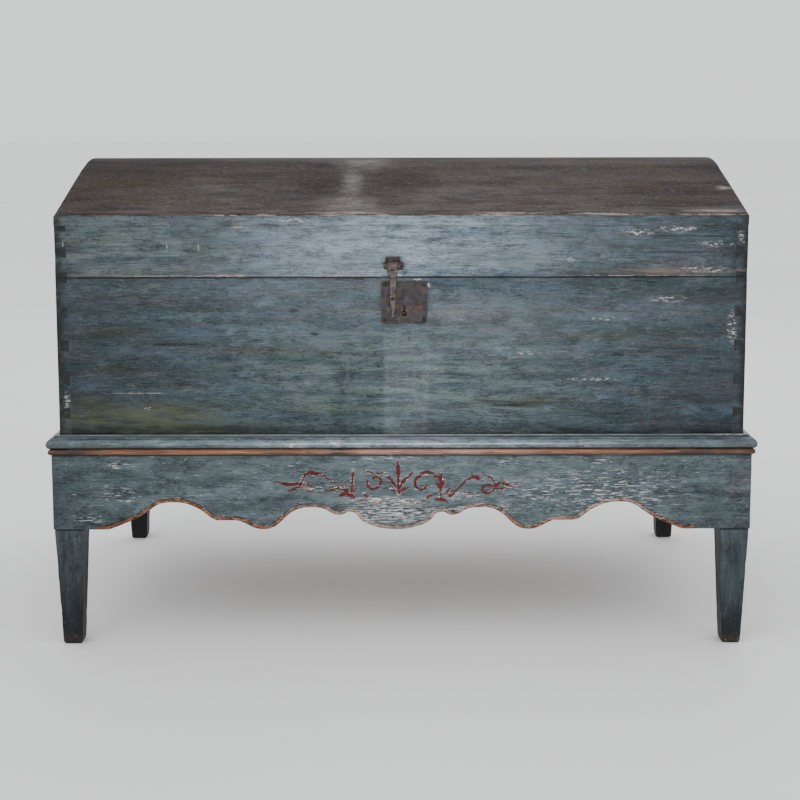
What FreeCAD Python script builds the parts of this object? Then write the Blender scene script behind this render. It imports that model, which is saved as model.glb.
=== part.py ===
import FreeCAD, Part
import math
import os

from FreeCAD import Vector

# Painted storage chest on its own stand, in millimetres.
# X runs to the right along the front, Y from the front to the back, Z up.
# The origin is on the floor, under the middle of the chest.

# Overall sizes
chest_width = 1182.0
chest_depth = 610.0
stand_height = 353.0
chest_height = 294.0
lid_front_height = 107.0
lid_ridge_rise = 89.0

# Chest box
front_thickness = 22.0
end_thickness = 20.0
bottom_thickness = 18.0
bottom_rebate = 8.0
bottom_plank_count = 3
pin_width = 20.0
pin_flare = 3.0
chest_tail_count = 5
lid_tail_count = 2
seam_gap = 0.4
overrun = 5.0

# Roof-shaped lid
top_thickness = 17.0
ridge_radius = 270.0

# Stand frame
apron_projection = 12.5
apron_thickness = 22.0
apron_drop = 144.0
side_arch_rise = 38.0
side_arch_half_length = 190.0
side_ogee_length = 68.0
bearer_width = 45.0
bearer_height = 30.0
bearer_housing = 8.0
bearer_offset = 300.0

# Legs
leg_top_width = 50.0
leg_foot_width = 33.0
leg_top_inset = 1.5
leg_foot_inset = 9.5
foot_chamfer = 3.0
post_width = 28.0
post_shortening = 2.0
peg_diameter = 9.0
peg_length = 38.0
peg_first_height = 30.0
peg_pitch = 55.0
peg_stagger = 20.0

# Moulding that holds the chest, and the half-round band below it
moulding_height = 22.0
moulding_clearance = 1.0
moulding_projection = 19.5
nose_foot_projection = 15.5
nose_top_projection = 14.5
nose_height = 16.0
nose_widest_height = 7.5
quirk_projection = 12.5
fillet_projection = 7.0
fillet_foot_height = 20.0
band_height = 11.0
band_projection = 4.5
band_offset = 0.5

# Scalloped lower edge of the front apron, half of it, out from its own middle.
# Each place is a share of the apron's half length, and each height a share of
# the deepest arch. A stretch is level at both of its ends.
scroll_offset = -10.0
scallop_rise = 48.2
scallop_stretch_shares = (
    ((0.0000, 0.000), (0.0663, 0.127), (0.1027, 0.384), (0.1326, 0.640)),
    ((0.1326, 0.640), (0.1607, 0.523)),
    ((0.1607, 0.523), (0.2022, 0.734), (0.2486, 0.809)),
    ((0.2486, 0.809), (0.3148, 0.469), (0.3811, 0.002)),
    ((0.3811, 0.002), (0.4275, 0.191), (0.4640, 0.334)),
    ((0.4640, 0.334), (0.5054, 0.334)),
    ((0.5054, 0.334), (0.5468, 0.606), (0.5833, 0.865), (0.6363, 1.000)),
    ((0.6363, 1.000), (0.6794, 0.925), (0.7125, 0.653), (0.7705, 0.257), (0.8119, 0.052), (0.8484, 0.000)),
)

# Lock plate and keyhole
plate_width = 79.7
plate_height = 74.0
plate_offset = 4.85
plate_top_gap = 6.0
plate_thickness = 1.5
plate_nail_inset = 6.5
keyhole_diameter = 9.0
keyhole_slot_width = 4.8
keyhole_height = 19.0
keyhole_floor_height = 14.0
plate_slot_width = 5.6
plate_slot_margin = 1.6

# Lock case in the front board
case_margin = 4.0
case_depth = 14.0
case_wall = 1.5
mortise_clearance = 0.3
key_pin_diameter = 3.2
bolt_height = 5.0
bolt_thickness = 3.2
bolt_length = 42.0
bolt_slot_gap = 1.2
bolt_clearance = 0.3
guide_width = 7.0
guide_wall = 2.0
guide_offset_share = 0.75
spring_thickness = 0.8
spring_width = 6.0
spring_length = 30.0
spring_rise = 9.0

# Hasp, its loop and the bracket on the lid
hasp_offset = -14.5
hasp_pivot_rise = 21.0
hasp_thickness = 2.5
hasp_shoulder_width = 15.0
hasp_shank_width = 10.0
hasp_shoulder_drop = 17.0
hasp_shank_drop = 27.0
hasp_shank_end_drop = 71.0
hasp_bend_drop = 62.0
hasp_tip_drop = 84.0
hasp_tip_width = 5.0
hasp_tip_forward = 5.2
hasp_tip_diameter = 5.0
hasp_barrel_width = 17.5
hasp_barrel_diameter = 11.0
hasp_pin_diameter = 5.0
hasp_pin_clearance = 0.05
loop_wire = 3.0
loop_reach = 9.2
loop_height = 10.0
loop_drop = 60.5
loop_plate_gap = 0.3
rivet_head_diameter = 5.5
rivet_head_height = 1.0
bracket_ear_width = 4.0
bracket_ear_gap = 0.4
bracket_thickness = 2.0
bracket_rise = 14.0
bracket_foot = 7.0
bracket_nail_rise = 10.5

# Strap hinges on the back
hinge_offset = 380.0
hinge_width = 44.0
hinge_end_width = 26.0
strap_thickness = 2.5
chest_strap_length = 170.0
lid_strap_length = 80.0
chest_strap_nail_count = 4
lid_strap_nail_count = 2
knuckle_diameter = 12.0
knuckle_width = 13.0
knuckle_gap = 0.4
knuckle_relief = 0.6
hinge_stand_off = 0.5
hinge_pin_diameter = 6.0
hinge_pin_clearance = 0.05
hinge_pin_head_diameter = 9.0
hinge_pin_head_height = 2.5

# Hand-made nails
nail_diameter = 3.0
nail_length = 14.0
nail_head_diameter = 7.0
nail_head_height = 1.6

# Places that follow from the sizes
half_width = chest_width / 2
half_depth = chest_depth / 2
seam_height = stand_height + chest_height
lid_foot = seam_height + seam_gap
arris_height = seam_height + lid_front_height
ridge_height = arris_height + lid_ridge_rise
apron_foot = stand_height - apron_drop
inner_half_width = half_width - end_thickness
inner_half_depth = half_depth - front_thickness
apron_half_width = half_width + apron_projection
apron_half_depth = half_depth + apron_projection
hinge_axis_y = half_depth + hinge_stand_off + knuckle_diameter / 2
plate_face = -half_depth - plate_thickness
plate_top = seam_height - plate_top_gap
plate_foot = plate_top - plate_height
plate_left = plate_offset - plate_width / 2
plate_right = plate_offset + plate_width / 2
keyhole_foot = plate_foot + keyhole_floor_height
key_pin_height = keyhole_foot + keyhole_diameter / 2
pivot_height = seam_height + hasp_pivot_rise
hasp_back_y = plate_face - loop_plate_gap - loop_reach
pivot_y = hasp_back_y - hasp_thickness / 2
latch_angle = math.asin(loop_reach / loop_drop)


def box(x, y, z):
    """A block between two places along each axis."""
    return Part.makeBox(x[1] - x[0], y[1] - y[0], z[1] - z[0], Vector(x[0], y[0], z[0]))


def face_of(points):
    return Part.Face(Part.makePolygon(points + [points[0]]))


def prism_x(outline, x):
    """Extrudes an outline of (y, z) points from one x to another."""
    return face_of([Vector(x[0], y, z) for y, z in outline]).extrude(Vector(x[1] - x[0], 0, 0))


def prism_y(outline, y):
    """Extrudes an outline of (x, z) points from one y to another."""
    return face_of([Vector(px, y[0], z) for px, z in outline]).extrude(Vector(0, y[1] - y[0], 0))


def prism_z(outline, z):
    """Extrudes an outline of (x, y) points from one z to another."""
    return face_of([Vector(px, py, z[0]) for px, py in outline]).extrude(Vector(0, 0, z[1] - z[0]))


def rod_x(x, y, z, diameter):
    return Part.makeCylinder(diameter / 2, x[1] - x[0], Vector(x[0], y, z), Vector(1, 0, 0))


def rod_y(x, y, z, diameter):
    return Part.makeCylinder(diameter / 2, y[1] - y[0], Vector(x, y[0], z), Vector(0, 1, 0))


def mirror_x(shape):
    return shape.mirror(Vector(0, 0, 0), Vector(1, 0, 0))


def mirror_y(shape):
    return shape.mirror(Vector(0, 0, 0), Vector(0, 1, 0))


def export(shape, name):
    if not shape.isValid():
        raise ValueError(name + " is not a valid solid")
    shape.exportStep("parts/" + name + ".step")


# Chest box

def dovetail_pins(foot, top, tail_count):
    """Pins of both end boards, which fill the corners between the tails."""
    pitch = (top - foot) / tail_count
    outer = pin_width / 2 - pin_flare
    inner = pin_width / 2
    pins = []
    for index in range(tail_count + 1):
        middle = foot + index * pitch
        outline = [(-half_width, middle - outer), (-inner_half_width, middle - inner),
                   (-inner_half_width, middle + inner), (-half_width, middle + outer)]
        pin = prism_y(outline, (-half_depth, -inner_half_depth))
        pins += [pin, mirror_x(pin), mirror_y(pin), mirror_x(mirror_y(pin))]
    return Part.makeCompound(pins)


def end_board(full_board, pins):
    """An end board whose corners keep only its pins."""
    front_corner = box((-half_width, -inner_half_width), (-half_depth, -inner_half_depth),
                       (0, ridge_height))
    middle = full_board.cut(front_corner).cut(mirror_y(front_corner))
    return middle.fuse(pins.common(full_board)).removeSplitter()


def bottom_block():
    half_x = inner_half_width + bottom_rebate
    half_y = inner_half_depth + bottom_rebate
    return box((-half_x, half_x), (-half_y, half_y), (stand_height, stand_height + bottom_thickness))


def make_chest_boards():
    pins = dovetail_pins(stand_height, seam_height, chest_tail_count)
    wall = (stand_height, seam_height)
    bottom = bottom_block()
    full_end = box((-half_width, -inner_half_width), (-half_depth, half_depth), wall)
    left = end_board(full_end, pins).cut(bottom)
    full_front = box((-half_width, half_width), (-half_depth, -inner_half_depth), wall)
    front = full_front.cut(pins).cut(bottom)
    back = mirror_y(front)
    front = front.cut(lock_mortise())
    for nail in plate_nails():
        front = front.cut(nail)
    for nail in chest_strap_nails():
        back = back.cut(nail)
    export(front, "chest_front")
    export(back, "chest_back")
    export(left, "chest_end_left")
    export(mirror_x(left), "chest_end_right")


def make_bottom_planks():
    bottom = bottom_block().BoundBox
    plank_depth = bottom.YLength / bottom_plank_count
    for index in range(bottom_plank_count):
        start = bottom.YMin + index * plank_depth
        plank = box((bottom.XMin, bottom.XMax), (start, start + plank_depth), (bottom.ZMin, bottom.ZMax))
        export(plank, "bottom_plank_%d" % (index + 1))


# Lid

def roof_angle():
    """Angle of the straight slope, which starts at the arris and meets the ridge round."""
    centre_drop = ridge_radius - lid_ridge_rise
    reach = math.hypot(half_depth, centre_drop)
    return math.atan2(half_depth, centre_drop) - math.acos(ridge_radius / reach)


def roof_points(depth_below):
    """Eave, end of the straight slope and ridge of the front, so far below the outer face."""
    angle = roof_angle()
    centre = Vector(0, 0, ridge_height - ridge_radius)
    radius = ridge_radius - depth_below
    tangent = centre + Vector(0, -math.sin(angle), math.cos(angle)) * radius
    ridge = centre + Vector(0, 0, radius)
    eave_height = arris_height - depth_below / math.cos(angle)
    eave = Vector(0, -half_depth, eave_height)
    return eave, tangent, ridge


def roof_profile(depth_below, foot):
    """Closed face under the roof line of the whole lid, down to the foot."""
    eave, tangent, ridge = roof_points(depth_below)
    back = [Vector(0, -point.y, point.z) for point in (eave, tangent)]
    edges = [
        Part.makeLine(Vector(0, -half_depth, foot), eave),
        Part.makeLine(eave, tangent),
        Part.Arc(tangent, ridge, back[1]).toShape(),
        Part.makeLine(back[1], back[0]),
        Part.makeLine(back[0], Vector(0, half_depth, foot)),
        Part.makeLine(Vector(0, half_depth, foot), Vector(0, -half_depth, foot)),
    ]
    return Part.Face(Part.Wire(edges))


def lid_block(depth_below, x):
    face = roof_profile(depth_below, lid_foot)
    face.translate(Vector(x[0], 0, 0))
    return face.extrude(Vector(x[1] - x[0], 0, 0))


def make_lid():
    whole = (-half_width, half_width)
    under_top = lid_block(top_thickness, whole)
    pins = dovetail_pins(lid_foot, roof_points(top_thickness)[0].z, lid_tail_count)
    full_end = lid_block(top_thickness, (-half_width, -inner_half_width))
    left = end_board(full_end, pins)
    rail_zone = box(whole, (-half_depth, -inner_half_depth), (lid_foot, ridge_height))
    front = under_top.common(rail_zone).cut(pins)
    back = mirror_y(front)
    for nail in bracket_nails():
        front = front.cut(nail)
    for nail in lid_strap_nails():
        back = back.cut(nail)
    roof = lid_block(0, whole).cut(under_top)
    front_half = box(whole, (-half_depth, 0), (lid_foot, ridge_height))
    slope = roof.common(front_half)
    export(front, "lid_front_rail")
    export(back, "lid_back_rail")
    export(left, "lid_end_left")
    export(mirror_x(left), "lid_end_right")
    export(slope, "lid_slope_front")
    export(mirror_y(slope), "lid_slope_back")


# Stand

def corner_wedge(inner, outer):
    """Plan of the front run of the stand, mitred at both corners."""
    outline = [(-half_width - inner, -half_depth - inner), (half_width + inner, -half_depth - inner),
               (half_width + outer, -half_depth - outer), (-half_width - outer, -half_depth - outer)]
    return prism_z(outline, (0, ridge_height))


def side_wedge(inner, outer):
    """Plan of the left run of the stand, mitred at both corners."""
    outline = [(-half_width - inner, -half_depth - inner), (-half_width - inner, half_depth + inner),
               (-half_width - outer, half_depth + outer), (-half_width - outer, -half_depth - outer)]
    return prism_z(outline, (0, ridge_height))


def level_curve(points):
    """Smooth curve through points, level at its first and last point."""
    if len(points) == 2 and points[0].z == points[1].z:
        return Part.makeLine(points[0], points[1])
    along = Vector(1, 0, 0) if abs(points[1].x - points[0].x) > 0 else Vector(0, 1, 0)
    if points[-1].dot(along) < points[0].dot(along):
        along = along * -1
    curve = Part.BSplineCurve()
    curve.interpolate(Points=points, InitialTangent=along, FinalTangent=along)
    return curve.toShape()


def scalloped_face():
    """Front apron seen from the front, with its scalloped lower edge."""
    half = apron_half_width
    edges = []
    for side in (-1, 1):
        for stretch in scallop_stretch_shares:
            points = [Vector(scroll_offset + side * across * half, 0, apron_foot + up * scallop_rise)
                      for across, up in stretch]
            edges.append(level_curve(points))
        end = points[-1]
        corner = Vector(side * half, 0, apron_foot)
        edges.append(Part.makeLine(end, corner))
        edges.append(Part.makeLine(corner, Vector(side * half, 0, stand_height)))
    edges.append(Part.makeLine(Vector(-half, 0, stand_height), Vector(half, 0, stand_height)))
    return Part.Face(Part.Wire(Part.__sortEdges__(edges)))


def arched_face():
    """Left apron seen from the side, with one long flat arch."""
    half = apron_half_depth
    low = apron_foot
    high = apron_foot + side_arch_rise
    ogee_end = side_arch_half_length + side_ogee_length
    ogee_middle = side_arch_half_length + side_ogee_length / 2
    edges = [Part.makeLine(Vector(0, -side_arch_half_length, high), Vector(0, side_arch_half_length, high)),
             Part.makeLine(Vector(0, -half, stand_height), Vector(0, half, stand_height))]
    for side in (-1, 1):
        edges.append(level_curve([Vector(0, side * ogee_end, low),
                                  Vector(0, side * ogee_middle, (low + high) / 2),
                                  Vector(0, side * side_arch_half_length, high)]))
        edges.append(Part.makeLine(Vector(0, side * ogee_end, low), Vector(0, side * half, low)))
        edges.append(Part.makeLine(Vector(0, side * half, low), Vector(0, side * half, stand_height)))
    return Part.Face(Part.Wire(Part.__sortEdges__(edges)))


def make_aprons():
    inner = apron_projection - apron_thickness
    front_plan = corner_wedge(inner, apron_projection)
    side_plan = side_wedge(inner, apron_projection)
    scalloped = scalloped_face()
    scalloped.translate(Vector(0, -apron_half_depth, 0))
    front = scalloped.extrude(Vector(0, apron_thickness, 0)).common(front_plan)
    straight = box((-apron_half_width, apron_half_width), (-apron_half_depth, -half_depth - inner),
                   (apron_foot, stand_height)).common(front_plan)
    back = mirror_y(straight)
    arched = arched_face()
    arched.translate(Vector(-apron_half_width, 0, 0))
    left = arched.extrude(Vector(apron_thickness, 0, 0)).common(side_plan)
    bearers = cross_bearers()
    for bearer in bearers:
        front = front.cut(bearer)
        back = back.cut(bearer)
    right = mirror_x(left)
    for peg in leg_pegs():
        front = front.cut(peg)
        back = back.cut(peg)
        left = left.cut(peg)
        right = right.cut(peg)
    export(front, "apron_front")
    export(back, "apron_back")
    export(left, "apron_left")
    export(right, "apron_right")
    export(bearers[0], "cross_bearer_left")
    export(bearers[1], "cross_bearer_right")


def cross_bearers():
    """Bearers under the chest, housed in the front and back aprons."""
    half_length = apron_half_depth - apron_thickness + bearer_housing
    height = (stand_height - bearer_height, stand_height)
    bearers = []
    for side in (-1, 1):
        middle = side * bearer_offset
        bearers.append(box((middle - bearer_width / 2, middle + bearer_width / 2),
                           (-half_length, half_length), height))
    return bearers


def square_wire(outer_x, outer_y, width, height):
    corners = [Vector(outer_x, outer_y, height), Vector(outer_x + width, outer_y, height),
               Vector(outer_x + width, outer_y + width, height), Vector(outer_x, outer_y + width, height)]
    return Part.makePolygon(corners + [corners[0]])


def leg_pegs():
    """Wooden pegs from inside each post into the two aprons beside it."""
    face_x = -apron_half_width + apron_thickness
    face_y = -apron_half_depth + apron_thickness
    middle_x = face_x + post_width / 2
    middle_y = face_y + post_width / 2
    pegs = []
    for row in range(2):
        height = apron_foot + peg_first_height + row * peg_pitch
        to_front = rod_y(middle_x, (face_y + post_width - peg_length, face_y + post_width), height,
                         peg_diameter)
        to_side = rod_x((face_x + post_width - peg_length, face_x + post_width), middle_y,
                        height + peg_stagger, peg_diameter)
        for peg in (to_front, to_side):
            pegs += [peg, mirror_x(peg), mirror_y(peg), mirror_x(mirror_y(peg))]
    return pegs


def make_legs():
    top_x = -apron_half_width + leg_top_inset
    top_y = -apron_half_depth + leg_top_inset
    foot_x = -apron_half_width + leg_foot_inset
    foot_y = -apron_half_depth + leg_foot_inset
    wires = [
        square_wire(top_x, top_y, leg_top_width, apron_foot),
        square_wire(foot_x, foot_y, leg_foot_width, foot_chamfer),
    ]
    sole = square_wire(foot_x + foot_chamfer, foot_y + foot_chamfer,
                       leg_foot_width - 2 * foot_chamfer, 0)
    tapered = Part.makeLoft(wires, True, True)
    worn_foot = Part.makeLoft([wires[1], sole], True, True)
    post_x = -apron_half_width + apron_thickness
    post_y = -apron_half_depth + apron_thickness
    post = box((post_x, post_x + post_width), (post_y, post_y + post_width),
               (apron_foot, stand_height - post_shortening))
    leg = tapered.fuse(worn_foot).fuse(post).removeSplitter()
    legs = {"leg_front_left": leg, "leg_front_right": mirror_x(leg),
            "leg_back_left": mirror_y(leg), "leg_back_right": mirror_x(mirror_y(leg))}
    pegs = leg_pegs()
    for name, shape in legs.items():
        for peg in pegs:
            shape = shape.cut(peg)
        export(shape, name)
    export(Part.makeCompound(pegs), "leg_pegs")


def make_mouldings():
    foot = stand_height
    top = foot + moulding_height
    near = moulding_clearance
    nose_start = Vector(0, -half_depth - nose_foot_projection, foot)
    nose_widest = Vector(0, -half_depth - moulding_projection, foot + nose_widest_height)
    nose_end = Vector(0, -half_depth - nose_top_projection, foot + nose_height)
    rest = [Vector(0, -half_depth - quirk_projection, foot + nose_height),
            Vector(0, -half_depth - fillet_projection, foot + fillet_foot_height),
            Vector(0, -half_depth - fillet_projection, top),
            Vector(0, -half_depth - near, top),
            Vector(0, -half_depth - near, foot),
            nose_start]
    edges = [Part.Arc(nose_start, nose_widest, nose_end).toShape()]
    last = nose_end
    for point in rest:
        edges.append(Part.makeLine(last, point))
        last = point
    profile = Part.Face(Part.Wire(edges))
    mitred_runs(profile, near, moulding_projection, "moulding")


def make_bands():
    foot = stand_height - band_offset - band_height
    top = stand_height - band_offset
    start = Vector(0, -apron_half_depth, foot)
    end = Vector(0, -apron_half_depth, top)
    widest = Vector(0, -apron_half_depth - band_projection, (foot + top) / 2)
    profile = Part.Face(Part.Wire([Part.Arc(start, widest, end).toShape(), Part.makeLine(end, start)]))
    mitred_runs(profile, apron_projection, apron_projection + band_projection, "band")


def mitred_runs(profile, inner, outer, name):
    """Carries a front profile round all four sides, with mitred corners."""
    length = half_width + outer
    front = profile.copy()
    front.translate(Vector(-length, 0, 0))
    front = front.extrude(Vector(2 * length, 0, 0)).common(corner_wedge(inner, outer + overrun))
    side = profile.copy()
    side.rotate(Vector(0, 0, 0), Vector(0, 0, 1), -90)
    side.translate(Vector(half_depth - half_width, 0, 0))
    depth = half_depth + outer
    side.translate(Vector(0, -depth, 0))
    left = side.extrude(Vector(0, 2 * depth, 0)).common(side_wedge(inner, outer + overrun))
    export(front, name + "_front")
    export(mirror_y(front), name + "_back")
    export(left, name + "_left")
    export(mirror_x(left), name + "_right")


# Nails

def face_nail(x, face_y, z, into):
    """A nail driven from a face; into is 1 towards the back and -1 towards the front."""
    shaft_end = face_y + into * nail_length
    shaft = rod_y(x, (min(face_y, shaft_end), max(face_y, shaft_end)), z, nail_diameter)
    head = Part.makeCone(nail_head_diameter / 2, nail_diameter / 2, nail_head_height,
                         Vector(x, face_y, z), Vector(0, -into, 0))
    return shaft.fuse(head).removeSplitter()


# Lock

def plate_nails():
    places = [(x, z) for x in (plate_left + plate_nail_inset, plate_right - plate_nail_inset)
              for z in (plate_foot + plate_nail_inset, plate_top - plate_nail_inset)]
    return [face_nail(x, plate_face, z, 1) for x, z in places]


def latched_point(behind_pivot, below_pivot):
    """Where a point of the hanging hasp comes to when it is pressed home."""
    turn = latch_angle
    y = behind_pivot * math.cos(turn) + below_pivot * math.sin(turn)
    z = behind_pivot * math.sin(turn) - below_pivot * math.cos(turn)
    return pivot_y + y, pivot_height + z


def slot_range():
    """Lowest and highest place that the loop reaches as it swings in."""
    loop_end = hasp_thickness / 2 + loop_reach
    half = (loop_height + loop_wire) / 2
    low = pivot_height - loop_drop - half
    high = latched_point(loop_end, loop_drop - half)[1]
    return low - plate_slot_margin, high + plate_slot_margin


def keyhole_cutter():
    reach = (plate_face - overrun, -half_depth + overrun)
    top = keyhole_foot + keyhole_height
    round_part = rod_y(plate_offset, reach, key_pin_height, keyhole_diameter)
    slot = box((plate_offset - keyhole_slot_width / 2, plate_offset + keyhole_slot_width / 2), reach,
               (key_pin_height, top))
    return round_part.fuse(slot)


def case_limits():
    return ((plate_left + case_margin, plate_right - case_margin),
            (-half_depth, -half_depth + case_depth),
            (plate_foot + case_margin, plate_top - case_margin))


def lock_mortise():
    x, y, z = case_limits()
    gap = mortise_clearance
    return box((x[0] - gap, x[1] + gap), (y[0], y[1] + gap), (z[0] - gap, z[1] + gap))


def bolt_limits():
    eye_depth = hasp_thickness / 2 + (loop_reach - loop_wire) / 2
    middle_y = latched_point(eye_depth, loop_drop)[0]
    middle_z = latched_point(eye_depth, loop_drop)[1]
    first_y = -half_depth + bolt_clearance
    end_x = hasp_offset + plate_slot_width / 2 + bolt_slot_gap
    depth = max(first_y, middle_y - bolt_thickness / 2)
    return ((end_x, end_x + bolt_length), (depth, depth + bolt_thickness),
            (middle_z - bolt_height / 2, middle_z + bolt_height / 2))


def make_lock():
    plate = box((plate_left, plate_right), (plate_face, -half_depth), (plate_foot, plate_top))
    slot_x = (hasp_offset - plate_slot_width / 2, hasp_offset + plate_slot_width / 2)
    slot = box(slot_x, (plate_face - overrun, -half_depth + overrun), slot_range())
    plate = plate.cut(keyhole_cutter()).cut(slot)
    nails = plate_nails()
    for nail in nails:
        plate = plate.cut(nail)

    x, y, z = case_limits()
    wall = case_wall
    case = box(x, y, z).cut(box((x[0] + wall, x[1] - wall), (y[0], y[1] - wall), (z[0] + wall, z[1] - wall)))
    bolt_x, bolt_y, bolt_z = bolt_limits()
    gap = bolt_clearance
    for share in (1 - guide_offset_share, guide_offset_share):
        middle = bolt_x[0] + bolt_length * share
        guide = box((middle - guide_width / 2, middle + guide_width / 2),
                    (bolt_y[0] - gap, y[1] - wall),
                    (bolt_z[0] - gap - guide_wall, bolt_z[1] + gap + guide_wall))
        channel = box((middle - guide_width, middle + guide_width),
                      (bolt_y[0] - gap, bolt_y[1] + gap), (bolt_z[0] - gap, bolt_z[1] + gap))
        case = case.fuse(guide.cut(channel))
    for nail in nails:
        case = case.cut(nail)
    key_pin = rod_y(plate_offset, (-half_depth, y[1] - wall), key_pin_height, key_pin_diameter)
    bolt = box(bolt_x, bolt_y, bolt_z)

    root_x = bolt_x[1]
    spring_y = (bolt_y[0], bolt_y[0] + spring_width)
    rest_z = bolt_z[1] + gap + guide_wall + gap
    spring = Part.makeBox(spring_thickness, spring_width, z[1] - wall - rest_z,
                          Vector(root_x, spring_y[0], rest_z))
    blade = Part.makeBox(spring_length, spring_width, spring_thickness,
                         Vector(root_x - spring_length, spring_y[0], rest_z))
    spring = spring.fuse(blade).removeSplitter()
    export(plate, "lock_plate")
    export(Part.makeCompound(nails), "lock_plate_nails")
    export(case.removeSplitter(), "lock_case")
    export(key_pin, "lock_key_pin")
    export(bolt, "lock_bolt")
    export(spring, "lock_spring")


# Hasp

def bracket_limits():
    half = hasp_barrel_width / 2 + bracket_ear_gap + bracket_ear_width
    return ((hasp_offset - half, hasp_offset + half),
            (pivot_height - bracket_foot, pivot_height + bracket_rise))


def bracket_nails():
    x, z = bracket_limits()
    face = -half_depth - bracket_thickness
    inset = nail_head_diameter / 2 + bracket_ear_gap
    height = pivot_height + bracket_nail_rise
    return [face_nail(place, face, height, 1) for place in (x[0] + inset, x[1] - inset)]


def make_bracket():
    x, z = bracket_limits()
    bracket = box(x, (-half_depth - bracket_thickness, -half_depth), z)
    ear_width = bracket_ear_width
    for start in (x[0], x[1] - ear_width):
        width = (start, start + ear_width)
        arm = box(width, (pivot_y, -half_depth),
                  (pivot_height - hasp_barrel_diameter / 2, pivot_height + hasp_barrel_diameter / 2))
        bracket = bracket.fuse(arm).fuse(rod_x(width, pivot_y, pivot_height, hasp_barrel_diameter))
    pin = rod_x((x[0], x[1]), pivot_y, pivot_height, hasp_pin_diameter)
    bracket = bracket.cut(pin).removeSplitter()
    nails = bracket_nails()
    for nail in nails:
        bracket = bracket.cut(nail)
    export(bracket, "hasp_bracket")
    export(pin, "hasp_pin")
    export(Part.makeCompound(nails), "hasp_bracket_nails")


def hasp_outline():
    """Outline of the strap from the barrel down, as (x, z) points."""
    shoulder = hasp_shoulder_width / 2
    shank = hasp_shank_width / 2
    tip = hasp_tip_width / 2
    right = [(shoulder, -hasp_barrel_diameter / 4), (shoulder, -hasp_shoulder_drop),
             (shank, -hasp_shank_drop), (shank, -hasp_shank_end_drop), (tip, -hasp_tip_drop)]
    left = [(-across, down) for across, down in reversed(right)]
    return [(hasp_offset + across, pivot_height + down) for across, down in right + left]


def make_hasp():
    half = hasp_thickness / 2
    bend_z = pivot_height - hasp_bend_drop
    tip_z = pivot_height - hasp_tip_drop
    forward = hasp_tip_forward
    side = [(pivot_y + half, pivot_height), (pivot_y + half, bend_z), (pivot_y + half - forward, tip_z),
            (pivot_y - half - forward, tip_z), (pivot_y - half, bend_z), (pivot_y - half, pivot_height)]
    width = hasp_shoulder_width
    bent = prism_x(side, (hasp_offset - width, hasp_offset + width))
    flat = prism_y(hasp_outline(), (pivot_y - half - forward - overrun, pivot_y + half + overrun))
    strap = bent.common(flat)
    barrel_x = (hasp_offset - hasp_barrel_width / 2, hasp_offset + hasp_barrel_width / 2)
    barrel = rod_x(barrel_x, pivot_y, pivot_height, hasp_barrel_diameter)
    curl_x = (hasp_offset - hasp_tip_width / 2, hasp_offset + hasp_tip_width / 2)
    curl = rod_x(curl_x, pivot_y - forward, tip_z, hasp_tip_diameter)
    bore = rod_x(barrel_x, pivot_y, pivot_height, hasp_pin_diameter + 2 * hasp_pin_clearance)
    hasp = strap.fuse(barrel).fuse(curl).cut(bore)

    wire = loop_wire
    rise = (loop_height + wire) / 2
    middle = pivot_height - loop_drop
    loop_x = (hasp_offset - wire / 2, hasp_offset + wire / 2)
    outer = box(loop_x, (hasp_back_y, hasp_back_y + loop_reach), (middle - rise, middle + rise))
    eye = box(loop_x, (hasp_back_y, hasp_back_y + loop_reach - wire),
              (middle - rise + wire, middle + rise - wire))
    loop = outer.cut(eye)
    front = hasp_back_y - hasp_thickness
    for height in (middle - loop_height / 2, middle + loop_height / 2):
        shank = rod_y(hasp_offset, (front, hasp_back_y), height, wire)
        head = Part.makeCone(rivet_head_diameter / 2, wire / 2, rivet_head_height,
                             Vector(hasp_offset, front, height), Vector(0, -1, 0))
        loop = loop.fuse(shank).fuse(head)
    loop = loop.removeSplitter()
    export(hasp.cut(loop).removeSplitter(), "hasp")
    export(loop, "hasp_loop")


# Strap hinges

def strap_outline(length, up):
    """Strap as (x, z) points from the seam, tapering to its end; up is 1 or -1."""
    wide = hinge_width / 2
    narrow = hinge_end_width / 2
    straight = length - narrow
    return [(-wide, 0), (-narrow, up * straight), (narrow, up * straight), (wide, 0)]


def strap_nail_places(length, count):
    """Distances from the seam of the nails down one strap."""
    first = hinge_end_width
    last = length - hinge_end_width / 2
    return [first + index * (last - first) / (count - 1) for index in range(count)]


def strap_nails(length, count, up):
    face = half_depth + strap_thickness
    return [face_nail(side * hinge_offset, face, seam_height + up * place, -1)
            for side in (-1, 1) for place in strap_nail_places(length, count)]


def chest_strap_nails():
    return strap_nails(chest_strap_length, chest_strap_nail_count, -1)


def lid_strap_nails():
    return strap_nails(lid_strap_length, lid_strap_nail_count, 1)


def knuckle_ranges():
    """Places along the pin of the two chest knuckles and of the lid's knuckle between them."""
    wide = hinge_width / 2
    inner = wide - knuckle_width
    return ((-wide, -inner), (inner, wide)), ((-inner + knuckle_gap, inner - knuckle_gap),)


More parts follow.
